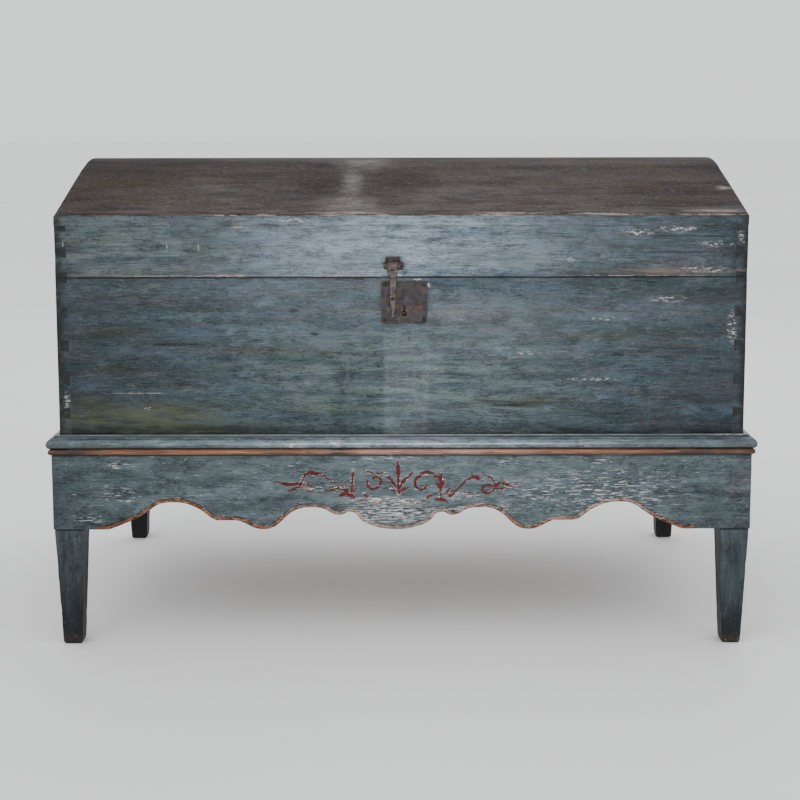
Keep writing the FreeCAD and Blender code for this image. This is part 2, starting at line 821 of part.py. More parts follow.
def make_strap(length, up, own, other):
    """One strap with its own knuckles, cut back beside the other strap's knuckles."""
    back = (half_depth, half_depth + strap_thickness)
    strap = prism_y(strap_outline(length, up), back)
    strap = strap.fuse(rod_y(0, back, up * (length - hinge_end_width / 2), hinge_end_width))
    gap = knuckle_gap
    relief_diameter = knuckle_diameter + 2 * knuckle_relief
    for place in other:
        strap = strap.cut(rod_x((place[0] - gap, place[1] + gap), hinge_axis_y, 0, relief_diameter))
    for place in own:
        strap = strap.fuse(rod_x(place, hinge_axis_y, 0, knuckle_diameter))
        bridge = box(place, (half_depth, hinge_axis_y), (0, knuckle_diameter / 2)) if up > 0 else \
            box(place, (half_depth, hinge_axis_y), (-knuckle_diameter / 2, 0))
        reach = rod_x(place, hinge_axis_y, 0, knuckle_diameter + 2 * hinge_stand_off)
        strap = strap.fuse(bridge.common(reach))
    return strap.removeSplitter()


def make_hinges():
    chest_places, lid_places = knuckle_ranges()
    wide = hinge_width / 2
    head = hinge_pin_head_height
    pin = rod_x((-wide - head, wide + head), hinge_axis_y, 0, hinge_pin_diameter)
    for start in (-wide - head, wide):
        pin = pin.fuse(rod_x((start, start + head), hinge_axis_y, 0, hinge_pin_head_diameter))
    pin = pin.removeSplitter()
    lid_bore = rod_x((-wide, wide), hinge_axis_y, 0, hinge_pin_diameter + 2 * hinge_pin_clearance)
    chest_strap = make_strap(chest_strap_length, -1, chest_places, lid_places).cut(pin)
    lid_strap = make_strap(lid_strap_length, 1, lid_places, chest_places).cut(lid_bore)
    below_lid = box((-hinge_width, hinge_width), (0, hinge_axis_y + knuckle_diameter), (-overrun, 0))
    lid_strap = lid_strap.cut(below_lid.cut(rod_x((-wide, wide), hinge_axis_y, 0, knuckle_diameter)))
    chest_nails = chest_strap_nails()
    lid_nails = lid_strap_nails()
    for side, word in ((-1, "left"), (1, "right")):
        shift = Vector(side * hinge_offset, 0, seam_height)
        pieces = []
        for shape in (chest_strap, lid_strap, pin):
            moved = shape.copy()
            moved.translate(shift)
            pieces.append(moved)
        for nail in chest_nails:
            pieces[0] = pieces[0].cut(nail)
        for nail in lid_nails:
            pieces[1] = pieces[1].cut(nail)
        export(pieces[0], "hinge_chest_strap_" + word)
        export(pieces[1], "hinge_lid_strap_" + word)
        export(pieces[2], "hinge_pin_" + word)
    export(Part.makeCompound(chest_nails), "hinge_chest_nails")
    export(Part.makeCompound(lid_nails), "hinge_lid_nails")


os.makedirs("parts", exist_ok=True)
make_legs()
make_aprons()
make_mouldings()
make_bands()
make_chest_boards()
make_bottom_planks()
make_lid()
make_lock()
make_bracket()
make_hasp()
make_hinges()
print("roof angle in degrees", round(math.degrees(roof_angle()), 2))
print("latch angle in degrees", round(math.degrees(latch_angle), 2))
print("hasp pivot y, z", round(pivot_y, 3), round(pivot_height, 3))
print("hinge axis y, z", round(hinge_axis_y, 3), seam_height)
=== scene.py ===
import math

import bmesh
import bpy
import numpy as np
from bpy.props import FloatProperty, FloatVectorProperty, IntProperty, PointerProperty
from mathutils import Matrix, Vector, noise


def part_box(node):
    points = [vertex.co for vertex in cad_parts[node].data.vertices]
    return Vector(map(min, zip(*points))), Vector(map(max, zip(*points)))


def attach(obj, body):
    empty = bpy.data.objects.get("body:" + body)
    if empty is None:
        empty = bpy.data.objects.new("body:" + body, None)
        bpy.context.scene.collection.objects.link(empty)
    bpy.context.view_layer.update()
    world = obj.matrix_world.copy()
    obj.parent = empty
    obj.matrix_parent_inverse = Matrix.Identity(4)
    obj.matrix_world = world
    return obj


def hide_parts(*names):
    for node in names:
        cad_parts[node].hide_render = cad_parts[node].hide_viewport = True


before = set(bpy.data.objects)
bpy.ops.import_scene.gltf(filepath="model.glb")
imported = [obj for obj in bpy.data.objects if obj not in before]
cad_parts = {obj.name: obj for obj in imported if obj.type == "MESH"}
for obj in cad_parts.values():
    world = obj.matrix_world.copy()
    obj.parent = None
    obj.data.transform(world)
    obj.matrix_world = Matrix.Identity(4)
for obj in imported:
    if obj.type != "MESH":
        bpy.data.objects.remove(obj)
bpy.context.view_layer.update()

bl_info = {
    "name": "Painted Storage Chest",
    "version": (1, 0, 0),
    "blender": (4, 5, 0),
    "location": "View3D > Sidebar > Chest",
    "description": "Dresses the solids of an old painted chest on its stand",
    "category": "Object",
}

SEED = 7.3

# Places of the solids that paint, wear and hardware follow, in metres
CHEST_LOW, CHEST_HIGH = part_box("chest_front")
CHEST_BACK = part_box("chest_back")[1].y
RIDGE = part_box("lid_slope_front")[1].z
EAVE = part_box("lid_front_rail")[1].z
LID_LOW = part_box("lid_front_rail")[0].z
APRON_LOW, APRON_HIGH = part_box("apron_front")
FRONT = CHEST_LOW.y
ANYWHERE = 9000.0

# Heights in millimetres where the lid meets the chest and where its slope starts
SEAM = CHEST_HIGH.z * 1000
ARRIS = max(vert.co.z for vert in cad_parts["lid_slope_front"].data.vertices
            if vert.co.y < FRONT + 0.0005) * 1000


def linear(text):
    """Linear colour with alpha from sRGB hex."""
    parts = [int(text[start:start + 2], 16) / 255 for start in (1, 3, 5)]
    return tuple(part / 12.92 if part <= 0.04045 else ((part + 0.055) / 1.055) ** 2.4 for part in parts) + (1.0,)


def colour_property(name, description, text):
    return FloatVectorProperty(name=name, description=description, subtype="COLOR", size=4,
                               min=0.0, max=1.0, default=linear(text))


class ChestPaint(bpy.types.PropertyGroup):
    slate: colour_property("Slate blue", "Old paint of the chest and lid boards", "#3a454d")
    teal: colour_property("Teal", "Old paint of the stand", "#434e51")
    brown: colour_property("Slope brown", "Rubbed wood of the roof-shaped lid", "#322a26")
    copper: colour_property("Copper brown", "Half-round band and scalloped edge", "#70482f")
    brick: colour_property("Brick red", "Scroll ornament on the front apron", "#4d100d")
    chalk: colour_property("Chalk", "Ground coat that shows where paint has flaked", "#918e8e")
    pine: colour_property("Bare pine", "Unpainted wood inside", "#684c34")
    iron: colour_property("Forged iron", "Lock, hasp, hinges and nails", "#252223")


class ChestWear(bpy.types.PropertyGroup):
    arris_radius: FloatProperty(name="Arris radius", description="How far outer edges are rubbed round",
                                default=0.0026, min=0.0003, max=0.006, unit="LENGTH", subtype="DISTANCE")
    joint_radius: FloatProperty(name="Joint radius", description="How far edges at flush joints are rubbed round",
                                default=0.0004, min=0.0001, max=0.003, unit="LENGTH", subtype="DISTANCE")
    dent_depth: FloatProperty(name="Dent depth", description="Deepest dent along an outer edge",
                              default=0.0016, min=0.0, max=0.004, unit="LENGTH", subtype="DISTANCE")
    slice_length: FloatProperty(name="Slice length", description="Distance between the cuts that carry the dents",
                                default=0.011, min=0.003, max=0.1, unit="LENGTH", subtype="DISTANCE")


class ChestOrnament(bpy.types.PropertyGroup):
    grid: FloatProperty(name="Ornament grid", description="Distance between the points that carry the scrolls",
                        default=0.0013, min=0.0008, max=0.01, unit="LENGTH", subtype="DISTANCE")
    border_width: FloatProperty(name="Border width", description="Painted border along the scalloped edge",
                                default=0.0068, min=0.0, max=0.02, unit="LENGTH", subtype="DISTANCE")


class ChestNails(bpy.types.PropertyGroup):
    head_diameter: FloatProperty(name="Head diameter", description="Width of a rose-headed nail",
                                 default=0.0072, min=0.002, max=0.02, unit="LENGTH", subtype="DISTANCE")
    head_height: FloatProperty(name="Head height", description="Height of a nail head",
                               default=0.0018, min=0.0005, max=0.006, unit="LENGTH", subtype="DISTANCE")
    facets: IntProperty(name="Facets", description="Hammered faces round a nail head", default=7, min=4, max=16)


class ChestStudio(bpy.types.PropertyGroup):
    floor: colour_property("Floor", "Pale studio floor", "#fafaf9")
    sky: FloatProperty(name="Room light", description="Strength of the light from all round",
                       default=1.2, min=0.0, max=5.0)
    key: FloatProperty(name="Key light", description="Power of the large soft light above the front",
                       default=20.0, min=0.0, max=1000.0, unit="POWER")
    front: FloatProperty(name="Front light", description="Power of the soft light beside the camera",
                         default=4.2, min=0.0, max=1000.0, unit="POWER")


PROPERTY_GROUPS = {"chest_paint": ChestPaint, "chest_wear": ChestWear, "chest_ornament": ChestOrnament,
                   "chest_nails": ChestNails, "chest_studio": ChestStudio}


# Node trees

def add(tree, kind, sockets=None, **settings):
    """Adds a node. Each socket gets a plain value, or a link where the value is another socket."""
    item = tree.nodes.new(kind)
    for name, value in settings.items():
        setattr(item, name, value)
    for key, value in (sockets or {}).items():
        if isinstance(value, bpy.types.NodeSocket):
            tree.links.new(value, item.inputs[key])
        else:
            item.inputs[key].default_value = value
    return item


class Finish:
    """A material under way: its tree, the place on the object and the direction of the grain."""

    def __init__(self, name, grain_axis):
        self.material = bpy.data.materials.new(name)
        self.material.use_nodes = True
        self.tree = self.material.node_tree
        self.shader = self.tree.nodes["Principled BSDF"]
        self.place = add(self.tree, "ShaderNodeTexCoord").outputs["Object"]
        self.grain_axis = grain_axis
        self.seed = SEED

    def grain(self, length, width, detail=4.0, roughness=0.55):
        """Noise drawn out along the grain, its specks so many millimetres long and wide."""
        self.seed += 3.7
        speck = [width] * 3
        speck[self.grain_axis] = length
        drawn = add(self.tree, "ShaderNodeMapping", {
            "Vector": self.place, "Location": (self.seed, 2 * self.seed, -self.seed),
            "Scale": [1000 / size for size in speck]})
        return add(self.tree, "ShaderNodeTexNoise", {
            "Vector": drawn.outputs[0], "Scale": 1.0, "Detail": detail, "Roughness": roughness}).outputs[0]

    def coat(self, below, above, pattern, start, full, strength=1.0, where=None, mode="MIX"):
        """Lays a colour over another where the pattern passes from start to full."""
        mask = add(self.tree, "ShaderNodeMapRange", {"Value": pattern, "From Min": start, "From Max": full,
                                                     "To Max": strength}, interpolation_type="SMOOTHSTEP").outputs[0]
        if where is not None:
            mask = self.times(mask, where)
        return add(self.tree, "ShaderNodeMix", {0: mask, 6: below, 7: above},
                   data_type="RGBA", blend_type=mode).outputs[2]

    def times(self, one, other):
        return add(self.tree, "ShaderNodeMath", {0: one, 1: other}, operation="MULTIPLY").outputs[0]

    def either(self, one, other):
        return add(self.tree, "ShaderNodeMath", {0: one, 1: other}, operation="MAXIMUM").outputs[0]

    def patch(self, centre, reach, blur=0.6, ragged=0.0, speck=(60.0, 5.0)):
        """Mask of an oval patch, 1 in its middle; centre and reach in millimetres."""
        away = add(self.tree, "ShaderNodeVectorMath", {0: self.place, 1: [size / 1000 for size in centre]},
                   operation="SUBTRACT").outputs[0]
        scaled = add(self.tree, "ShaderNodeVectorMath", {0: away, 1: [size / 1000 for size in reach]},
                     operation="DIVIDE").outputs[0]
        length = add(self.tree, "ShaderNodeVectorMath", {0: scaled}, operation="LENGTH").outputs["Value"]
        if ragged:
            rough = self.grain(*speck)
            length = add(self.tree, "ShaderNodeMath", {0: rough, 1: ragged, 2: length},
                         operation="MULTIPLY_ADD").outputs[0]
        return add(self.tree, "ShaderNodeMapRange", {
            "Value": length, "From Min": 1.0 + ragged / 2, "From Max": 1.0 + ragged / 2 - blur},
            interpolation_type="SMOOTHSTEP").outputs[0]

    def patches(self, spots, **settings):
        """Mask of several patches together, each a centre and a reach."""
        mask = self.patch(*spots[0], **settings)
        for centre, reach in spots[1:]:
            mask = self.either(mask, self.patch(centre, reach, **settings))
        return mask

    def finish(self, colour, roughness, height=None, relief=0.0006, metallic=0.0, specular=0.5):
        """Links the colour, the roughness and the relief to the shader."""
        for key, value in (("Base Color", colour), ("Roughness", roughness)):
            if isinstance(value, bpy.types.NodeSocket):
                self.tree.links.new(value, self.shader.inputs[key])
            else:
                self.shader.inputs[key].default_value = value
        self.shader.inputs["Metallic"].default_value = metallic
        self.shader.inputs["Specular IOR Level"].default_value = specular
        if height is not None:
            bump = add(self.tree, "ShaderNodeBump", {"Height": height, "Distance": relief, "Strength": 1.0})
            self.tree.links.new(bump.outputs[0], self.shader.inputs["Normal"])
        return self.material

    def dull(self, pattern, low, high):
        """Roughness between two values, from a pattern."""
        return add(self.tree, "ShaderNodeMapRange", {
            "Value": pattern, "From Min": 0.3, "From Max": 0.7, "To Min": low, "To Max": high}).outputs[0]


def plane_patch(z, reach):
    """Centre and reach, in millimetres, of a level band all round the object."""
    return (0.0, 0.0, z), (ANYWHERE, ANYWHERE, reach)


def upright_patches(axis, *bands):
    """Centres and reaches, in millimetres, of upright bands square to an axis."""
    pairs = []
    for place, reach in bands:
        centre = [0.0, 0.0, 0.0]
        size = [ANYWHERE, ANYWHERE, ANYWHERE]
        centre[axis] = place
        size[axis] = reach
        pairs.append((centre, size))
    return pairs


def front_patch(x, z, reach_x, reach_z):
    """Centre and reach, in millimetres, of a patch on the front of the chest."""
    return (x, FRONT * 1000, z), (reach_x, 70.0, reach_z)


def cracks(f, colour, dark, length, width, strength, where=None):
    """Short wandering cracks: thin lines where drawn-out noise crosses its middle value."""
    wander = f.grain(length, width, 6.0, 0.72)
    off = add(f.tree, "ShaderNodeMath", {0: wander, 1: 0.5}, operation="SUBTRACT").outputs[0]
    off = add(f.tree, "ShaderNodeMath", {0: off}, operation="ABSOLUTE").outputs[0]
    broken = add(f.tree, "ShaderNodeMapRange", {"Value": f.grain(34, 16, 3.0), "From Min": 0.46,
                                                "From Max": 0.58}).outputs[0]
    return f.coat(colour, dark, off, 0.030, 0.006, strength, broken if where is None else f.times(broken, where))


def brushed_coats(f, colour, pale, deep, streaks=1.0):
    """Cloudy old paint with pale rubbed grain, dark open grain, wandering cracks and pits."""
    cloud = f.grain(60, 24, 5.0, 0.66)
    colour = f.coat(colour, deep, cloud, 0.50, 0.74, 0.55)
    colour = f.coat(colour, pale, f.grain(48, 20, 5.0, 0.66), 0.52, 0.74, 0.42)
    light = f.grain(44, 2.6, 6.0, 0.70)
    colour = f.coat(colour, pale, light, 0.52, 0.72, 0.52 * streaks)
    dark = f.grain(40, 2.2, 6.0, 0.70)
    colour = f.coat(colour, deep, dark, 0.50, 0.68, 0.70 * streaks)
    colour = f.coat(colour, pale, f.grain(7, 2.6, 5.0, 0.72), 0.56, 0.68, 0.34)
    pits = f.grain(5.4, 2.4, 4.0, 0.68)
    colour = f.coat(colour, deep, pits, 0.56, 0.68, 0.60)
    colour = f.coat(colour, pale, f.grain(5, 2.2, 5.0, 0.72), 0.60, 0.66, 0.50)
    colour = cracks(f, colour, linear("#0b0d0f"), 26, 5.5, 0.75)
    colour = cracks(f, colour, linear("#0c0f11"), 62, 4.5, 0.75)
    relief = f.either(f.times(dark, 0.7), f.times(light, 0.6))
    return colour, add(f.tree, "ShaderNodeMath", {0: pits, 1: -0.6, 2: relief}, operation="MULTIPLY_ADD").outputs[0]


def flaked(f, colour, where, chalk, amount=0.0):
    """Ragged flakes down to the chalky ground inside a mask, with dark edges."""
    chips = f.grain(9, 3.0, 9.0, 0.80)
    colour = f.coat(colour, linear("#121517"), chips, 0.50 - amount, 0.53 - amount, 0.55, where)
    return f.coat(colour, chalk, chips, 0.55 - amount, 0.58 - amount, 0.92, where)


# Milk paint brushed on pine a long time ago: matt, streaked along the grain, rubbed through
# to darker wood in thin lines and flaked to its chalky ground in places.
def old_slate_paint(name, grain_axis, lid=False):
    paint = bpy.context.scene.chest_paint
    f = Finish(name, grain_axis)
    broad = f.grain(280, 34, 3.0)
    colour = f.coat(paint.slate, linear("#293537"), broad, 0.40, 0.60, 0.90)
    colour = f.coat(colour, linear("#3e404a"), f.grain(210, 17), 0.50, 0.66, 0.70)
    colour = f.coat(colour, linear("#354751"), f.grain(240, 21), 0.52, 0.66, 0.60)
    olive = f.patches([front_patch(-500, 545, 120, 34), front_patch(-490, 490, 110, 20),
                       front_patch(-410, 460, 150, 22), front_patch(-530, 410, 90, 40),
                       front_patch(-120, 418, 110, 16), front_patch(-300, 386, 160, 14),
                       front_patch(180, 430, 150, 22), front_patch(-250, 520, 200, 16),
                       front_patch(330, 540, 150, 18)], blur=1.0, ragged=0.6, speck=(120, 18))
    colour = f.coat(colour, linear("#2e2f14"), f.grain(120, 10), 0.36, 0.58, 0.78, olive)
    colour = f.coat(colour, linear("#2d312b"), f.grain(190, 15), 0.54, 0.68, 0.6)
    colour = f.coat(colour, linear("#45403c"), f.grain(130, 6, 5.0, 0.62), 0.54, 0.64, 0.60)
    if lid:
        # Painted highlight: a pale coat across the middle of the lid front, where the front light gives its sheen.
        rubbed_and_sheen = f.patch((-10, FRONT * 1000, 705), (430, 80, 160), blur=1.0)
        colour = f.coat(colour, linear("#7d8c97"), f.grain(90, 22, 5.0, 0.66), 0.22, 0.62, 0.78, rubbed_and_sheen)
        greyed = f.patch((-500, FRONT * 1000, 700), (290, 80, 130), blur=1.0)
        colour = f.coat(colour, linear("#69736f"), f.grain(110, 14, 5.0, 0.66), 0.32, 0.62, 0.62, greyed)
    # Painted light: a paler coat over the middle of the front, brightest where the front light falls.
    lower = f.patch((20, FRONT * 1000, 450), (440, 80, 200), blur=1.0)
    colour = f.coat(colour, linear("#5e6b69"), f.grain(150, 14, 4.0), 0.34, 0.62, 0.66, lower)

    colour, relief = brushed_coats(f, colour, linear("#5c686e"), linear("#0f1416"))

    # Painted shade: the boards darken toward both ends, where the light falls off.
    bands = ((-700, 390), (680, 330)) if grain_axis == 0 else ((-390, 180), (390, 180))
    ends = f.patches(upright_patches(grain_axis, *bands), blur=1.0)
    colour = f.coat(colour, linear("#191f20"), f.grain(160, 24), 0.15, 0.70, 0.34 if lid else 0.60, ends)
    mossy = f.patch((-430, FRONT * 1000, 400), (240, 80, 60), blur=1.0, ragged=0.6, speck=(80, 18))
    colour = f.coat(colour, linear("#4b4f38"), f.grain(60, 9, 5.0), 0.30, 0.60, 0.70, mossy)
    out = 593 if grain_axis == 0 else 307
    # Painted shade: a dark strip along both ends of each board and along the foot of the chest, above the moulding.
    rims = f.patches(upright_patches(grain_axis, (-out - 7, 30), (out + 7, 28)) + [plane_patch(372, 24)],
                     blur=0.8, ragged=0.8, speck=(50, 10))
    colour = f.coat(colour, linear("#141918"), f.grain(40, 7), 0.25, 0.60, 0.60, rims)
    corners = f.patches(upright_patches(grain_axis, (-out, 19), (out, 17)), blur=0.7, ragged=1.0, speck=(26, 12))
    colour = f.coat(colour, linear("#171614"), f.grain(12, 9, 5.0, 0.66), 0.32, 0.60, 0.80, corners)
    if grain_axis == 0:
        colour = front_wear(f, colour, paint.chalk)
    seam = f.patches([plane_patch(SEAM + 0.5, 2.6)], blur=0.6, ragged=0.5, speck=(30, 4))
    colour = f.coat(colour, linear("#121416"), f.grain(60, 3), 0.25, 0.50, 0.85, seam)
    colour = f.coat(colour, paint.chalk, f.grain(22, 1.8, 6.0, 0.7), 0.70, 0.74, 0.7)
    return f.finish(colour, f.dull(broad, 0.40, 0.50), relief, relief=0.00035, specular=0.16)


def front_wear(f, colour, chalk):
    """Marks that the front of the chest has in known places, and painted shadow round the lock plate and the hasp
    bracket.
    """
    brown = f.patches([front_patch(470, 657, 170, 10), front_patch(-500, 650.5, 110, 2.4)], blur=0.8, ragged=0.5,
                      speck=(60, 6))
    colour = f.coat(colour, linear("#5a4d46"), f.grain(60, 4, 5.0, 0.65), 0.36, 0.58, 0.85, brown)
    rim = f.patches([front_patch(-290, 650, 62, 3.6), front_patch(-400, 649.5, 130, 2.0), front_patch(-105, 649.5, 75, 2.2),
                     front_patch(400, 649.5, 200, 1.5), front_patch(-277, 733, 26, 2.2)], blur=0.7, ragged=0.9,
                    speck=(16, 3))
    colour = f.coat(colour, linear("#85746c"), f.grain(14, 3.0, 7.0, 0.74), 0.44, 0.54, 0.90, rim)
    flaking = f.patches([front_patch(404, 724, 44, 10), front_patch(472, 729, 62, 8), front_patch(537, 704, 46, 8),
                         front_patch(289, 678, 10, 6), front_patch(579, 712, 8, 22), front_patch(515, 660, 56, 9),
                         front_patch(352, 575, 46, 3.6), front_patch(455, 609, 46, 7), front_patch(210, 516, 52, 4),
                         front_patch(331, 470, 74, 4), front_patch(198, 439, 16, 4), front_patch(66, 486, 24, 4),
                         front_patch(-576, 430, 9, 28), front_patch(-436, 420, 12, 4), front_patch(566, 560, 12, 44),
                         front_patch(-180, 745, 40, 5)], blur=0.9)
    colour = flaked(f, colour, flaking, linear("#a9a7a6"), 0.02)
    scores = f.patches([front_patch(-451, 447, 60, 1.3), front_patch(-576, 702, 1.7, 13), front_patch(-399, 698, 1.5, 8),
                        front_patch(-345, 699, 1.5, 8)], blur=0.4, ragged=0.4, speck=(6, 3))
    colour = f.coat(colour, linear("#7f8381"), f.grain(8, 4, 4.0), 0.32, 0.54, 0.65, scores)
    handled = f.patches([front_patch(40, 702, 170, 44), front_patch(-60, 655, 90, 12)], blur=1.0)
    colour = cracks(f, colour, linear("#0c0f11"), 15, 5.5, 0.85, handled)
    # Painted shadow round the lock plate and round the eye of the hasp bracket.
    grime_and_shade = f.patches([front_patch(4.8, 604, 52, 47), front_patch(-13, 671, 27, 16)], blur=0.35, ragged=0.5,
                      speck=(12, 8))
    colour = f.coat(colour, linear("#14181a"), f.grain(14, 8, 5.0), 0.20, 0.60, 0.80, grime_and_shade)
    chips = f.patches([front_patch(47, 634, 3.2, 5), front_patch(-32.5, 620, 2.6, 5), front_patch(-3, 651.5, 8, 2.6),
                       front_patch(27, 643.5, 10, 1.6)], blur=0.6, ragged=0.5, speck=(5, 4))
    colour = f.coat(colour, linear("#a5a5a4"), f.grain(5, 2.4, 6.0, 0.72), 0.47, 0.53, 0.85, chips)
    marks = f.patches([front_patch(-184, 590, 12, 5), front_patch(-384, 532, 60, 3.2), front_patch(-149, 550, 10, 5),
                       front_patch(495, 717, 110, 1.8), front_patch(129, 731, 19, 2.2), front_patch(470, 690, 90, 1.8),
                       front_patch(180, 425, 36, 2.2), front_patch(370, 512, 14, 6)], blur=0.6, ragged=0.6, speck=(22, 4))
    colour = f.coat(colour, linear("#0d1012"), f.grain(16, 3, 5.0), 0.30, 0.50, 0.8, marks)
    drips = f.patches([front_patch(-24, 470, 5, 95), front_patch(22, 460, 4, 105), front_patch(-7, 490, 4, 90),
                       front_patch(-94, 460, 9, 65), front_patch(38, 540, 9, 30)], blur=0.8)
    return f.coat(colour, linear("#626b69"), f.grain(9, 5, 5.0, 0.7), 0.42, 0.64, 0.20, drips)


# Pine rubbed brown, with a trace of the old paint left in the grain: dull and nearly even.
def rubbed_slope_paint(name):
    paint = bpy.context.scene.chest_paint
    f = Finish(name, 0)
    broad = f.grain(260, 40, 4.0)
    colour = f.coat(paint.brown, linear("#201916"), broad, 0.42, 0.60, 0.85)
    colour = f.coat(colour, linear("#3b3532"), f.grain(150, 26), 0.48, 0.66, 0.75)
    colour = f.coat(colour, linear("#303435"), f.grain(110, 16), 0.52, 0.66, 0.65)
    colour = f.coat(colour, linear("#3c2f1b"), f.grain(70, 26), 0.54, 0.66, 0.60)
    greenish = f.patch((-420, -190, 790), (230, 150, 90), blur=1.0)
    colour = f.coat(colour, linear("#3a3825"), f.grain(60, 24, 5.0, 0.66), 0.36, 0.62, 0.60, greenish)
    centre = f.patches([((90, -210, 780), (470, 190, 110)), ((-330, -220, 780), (190, 150, 90))], blur=1.0)
    colour = f.coat(colour, linear("#5b5652"), f.grain(70, 30, 5.0, 0.66), 0.30, 0.70, 0.55, centre)
    stain = f.patches([((-152, -165, 800), (58, 84, 90)), ((8, -150, 800), (88, 92, 90))], blur=0.8, ragged=0.7,
                      speck=(34, 16))
    colour = f.coat(colour, linear("#221916"), f.grain(60, 16), 0.10, 0.50, 0.85, stain)
    pale = f.patches([((-70, -58, 815), (78, 66, 90)), ((-88, -165, 800), (28, 100, 90)),
                      ((-92, -268, 775), (78, 62, 90))], blur=0.9, ragged=0.8, speck=(26, 18))
    colour = f.coat(colour, linear("#726f6b"), f.grain(40, 16, 6.0, 0.7), 0.22, 0.60, 0.80, pale)
    foot = f.patch((0, -300, 758), (ANYWHERE, 75, 34), blur=1.0)
    colour = f.coat(colour, linear("#575150"), f.grain(110, 9, 5.0), 0.35, 0.65, 0.65, foot)
    colour = f.coat(colour, linear("#5d554f"), f.grain(46, 5.0, 6.0, 0.70), 0.54, 0.72, 0.32)
    colour = f.coat(colour, linear("#625c57"), f.grain(8, 4.0, 6.0, 0.74), 0.54, 0.64, 0.55)
    dark = f.grain(38, 5.0, 6.0, 0.70)
    colour = f.coat(colour, linear("#100d0c"), dark, 0.54, 0.70, 0.42)
    colour = f.coat(colour, linear("#0e0b0a"), f.grain(8, 4.0, 6.0, 0.74), 0.53, 0.63, 0.70)
    colour = cracks(f, colour, linear("#0b0908"), 40, 8, 0.60)
    colour = f.coat(colour, linear("#5d4226"), f.grain(10, 4, 6.0, 0.72), 0.62, 0.68, 0.60)
    shade = f.patches([((-600, -40, 830), (330, 190, 90)), ((600, -60, 830), (80, 260, 90)),
                       ((200, -20, 840), (420, 40, 60)), ((0, 300, 760), (ANYWHERE, 260, 90))], blur=1.0)
    colour = f.coat(colour, linear("#1c1614"), f.grain(100, 20), 0.15, 0.60, 0.60, shade)
    colour = f.coat(colour, linear("#736c66"), f.grain(24, 2.0, 6.0, 0.7), 0.66, 0.71, 0.7)
    arris = f.patches([((-305, -306, ARRIS), (44, 5, 4)), ((-232, -306, ARRIS), (22, 6, 4)),
                       ((-120, -306, ARRIS), (64, 5, 4)), ((155, -306, ARRIS), (52, 6, 4)),
                       ((370, -306, ARRIS), (52, 6, 4)), ((528, -306, ARRIS), (78, 6, 5)),
                       ((-30, -306, ARRIS), (26, 6, 3))], blur=0.6, ragged=0.6, speck=(26, 3))
    colour = f.coat(colour, linear("#95806f"), f.grain(14, 4.0, 7.0, 0.74), 0.44, 0.53, 0.90, arris)
    rim = f.patches([((-560, -300, ARRIS + 5), (190, 12, 9)), ((240, -300, ARRIS + 4), (90, 9, 7))], blur=0.8,
                    ragged=0.6, speck=(40, 4))
    colour = f.coat(colour, linear("#0f0c0b"), f.grain(40, 4, 5.0), 0.34, 0.56, 0.80, rim)
    edge = f.patches([((0, -306, ARRIS), (ANYWHERE, 3.5, 3.5))], blur=0.6)
    colour = f.coat(colour, linear("#746b66"), f.grain(46, 3.0, 5.0, 0.68), 0.48, 0.60, 0.7, edge)
    scuffs = f.patches([((574, -190, 790), (20, 14, 30)), ((540, -290, 760), (80, 8, 20)),
                        ((-90, -296, 757), (90, 8, 20)), ((190, -298, 757), (100, 6, 20)),
                        ((330, -300, 757), (60, 6, 20))], blur=0.8, ragged=0.6, speck=(20, 5))
    colour = f.coat(colour, linear("#8f8480"), f.grain(22, 4, 6.0, 0.7), 0.40, 0.56, 0.85, scuffs)
    return f.finish(colour, f.dull(broad, 0.60, 0.72), dark, relief=0.0007, specular=0.10)


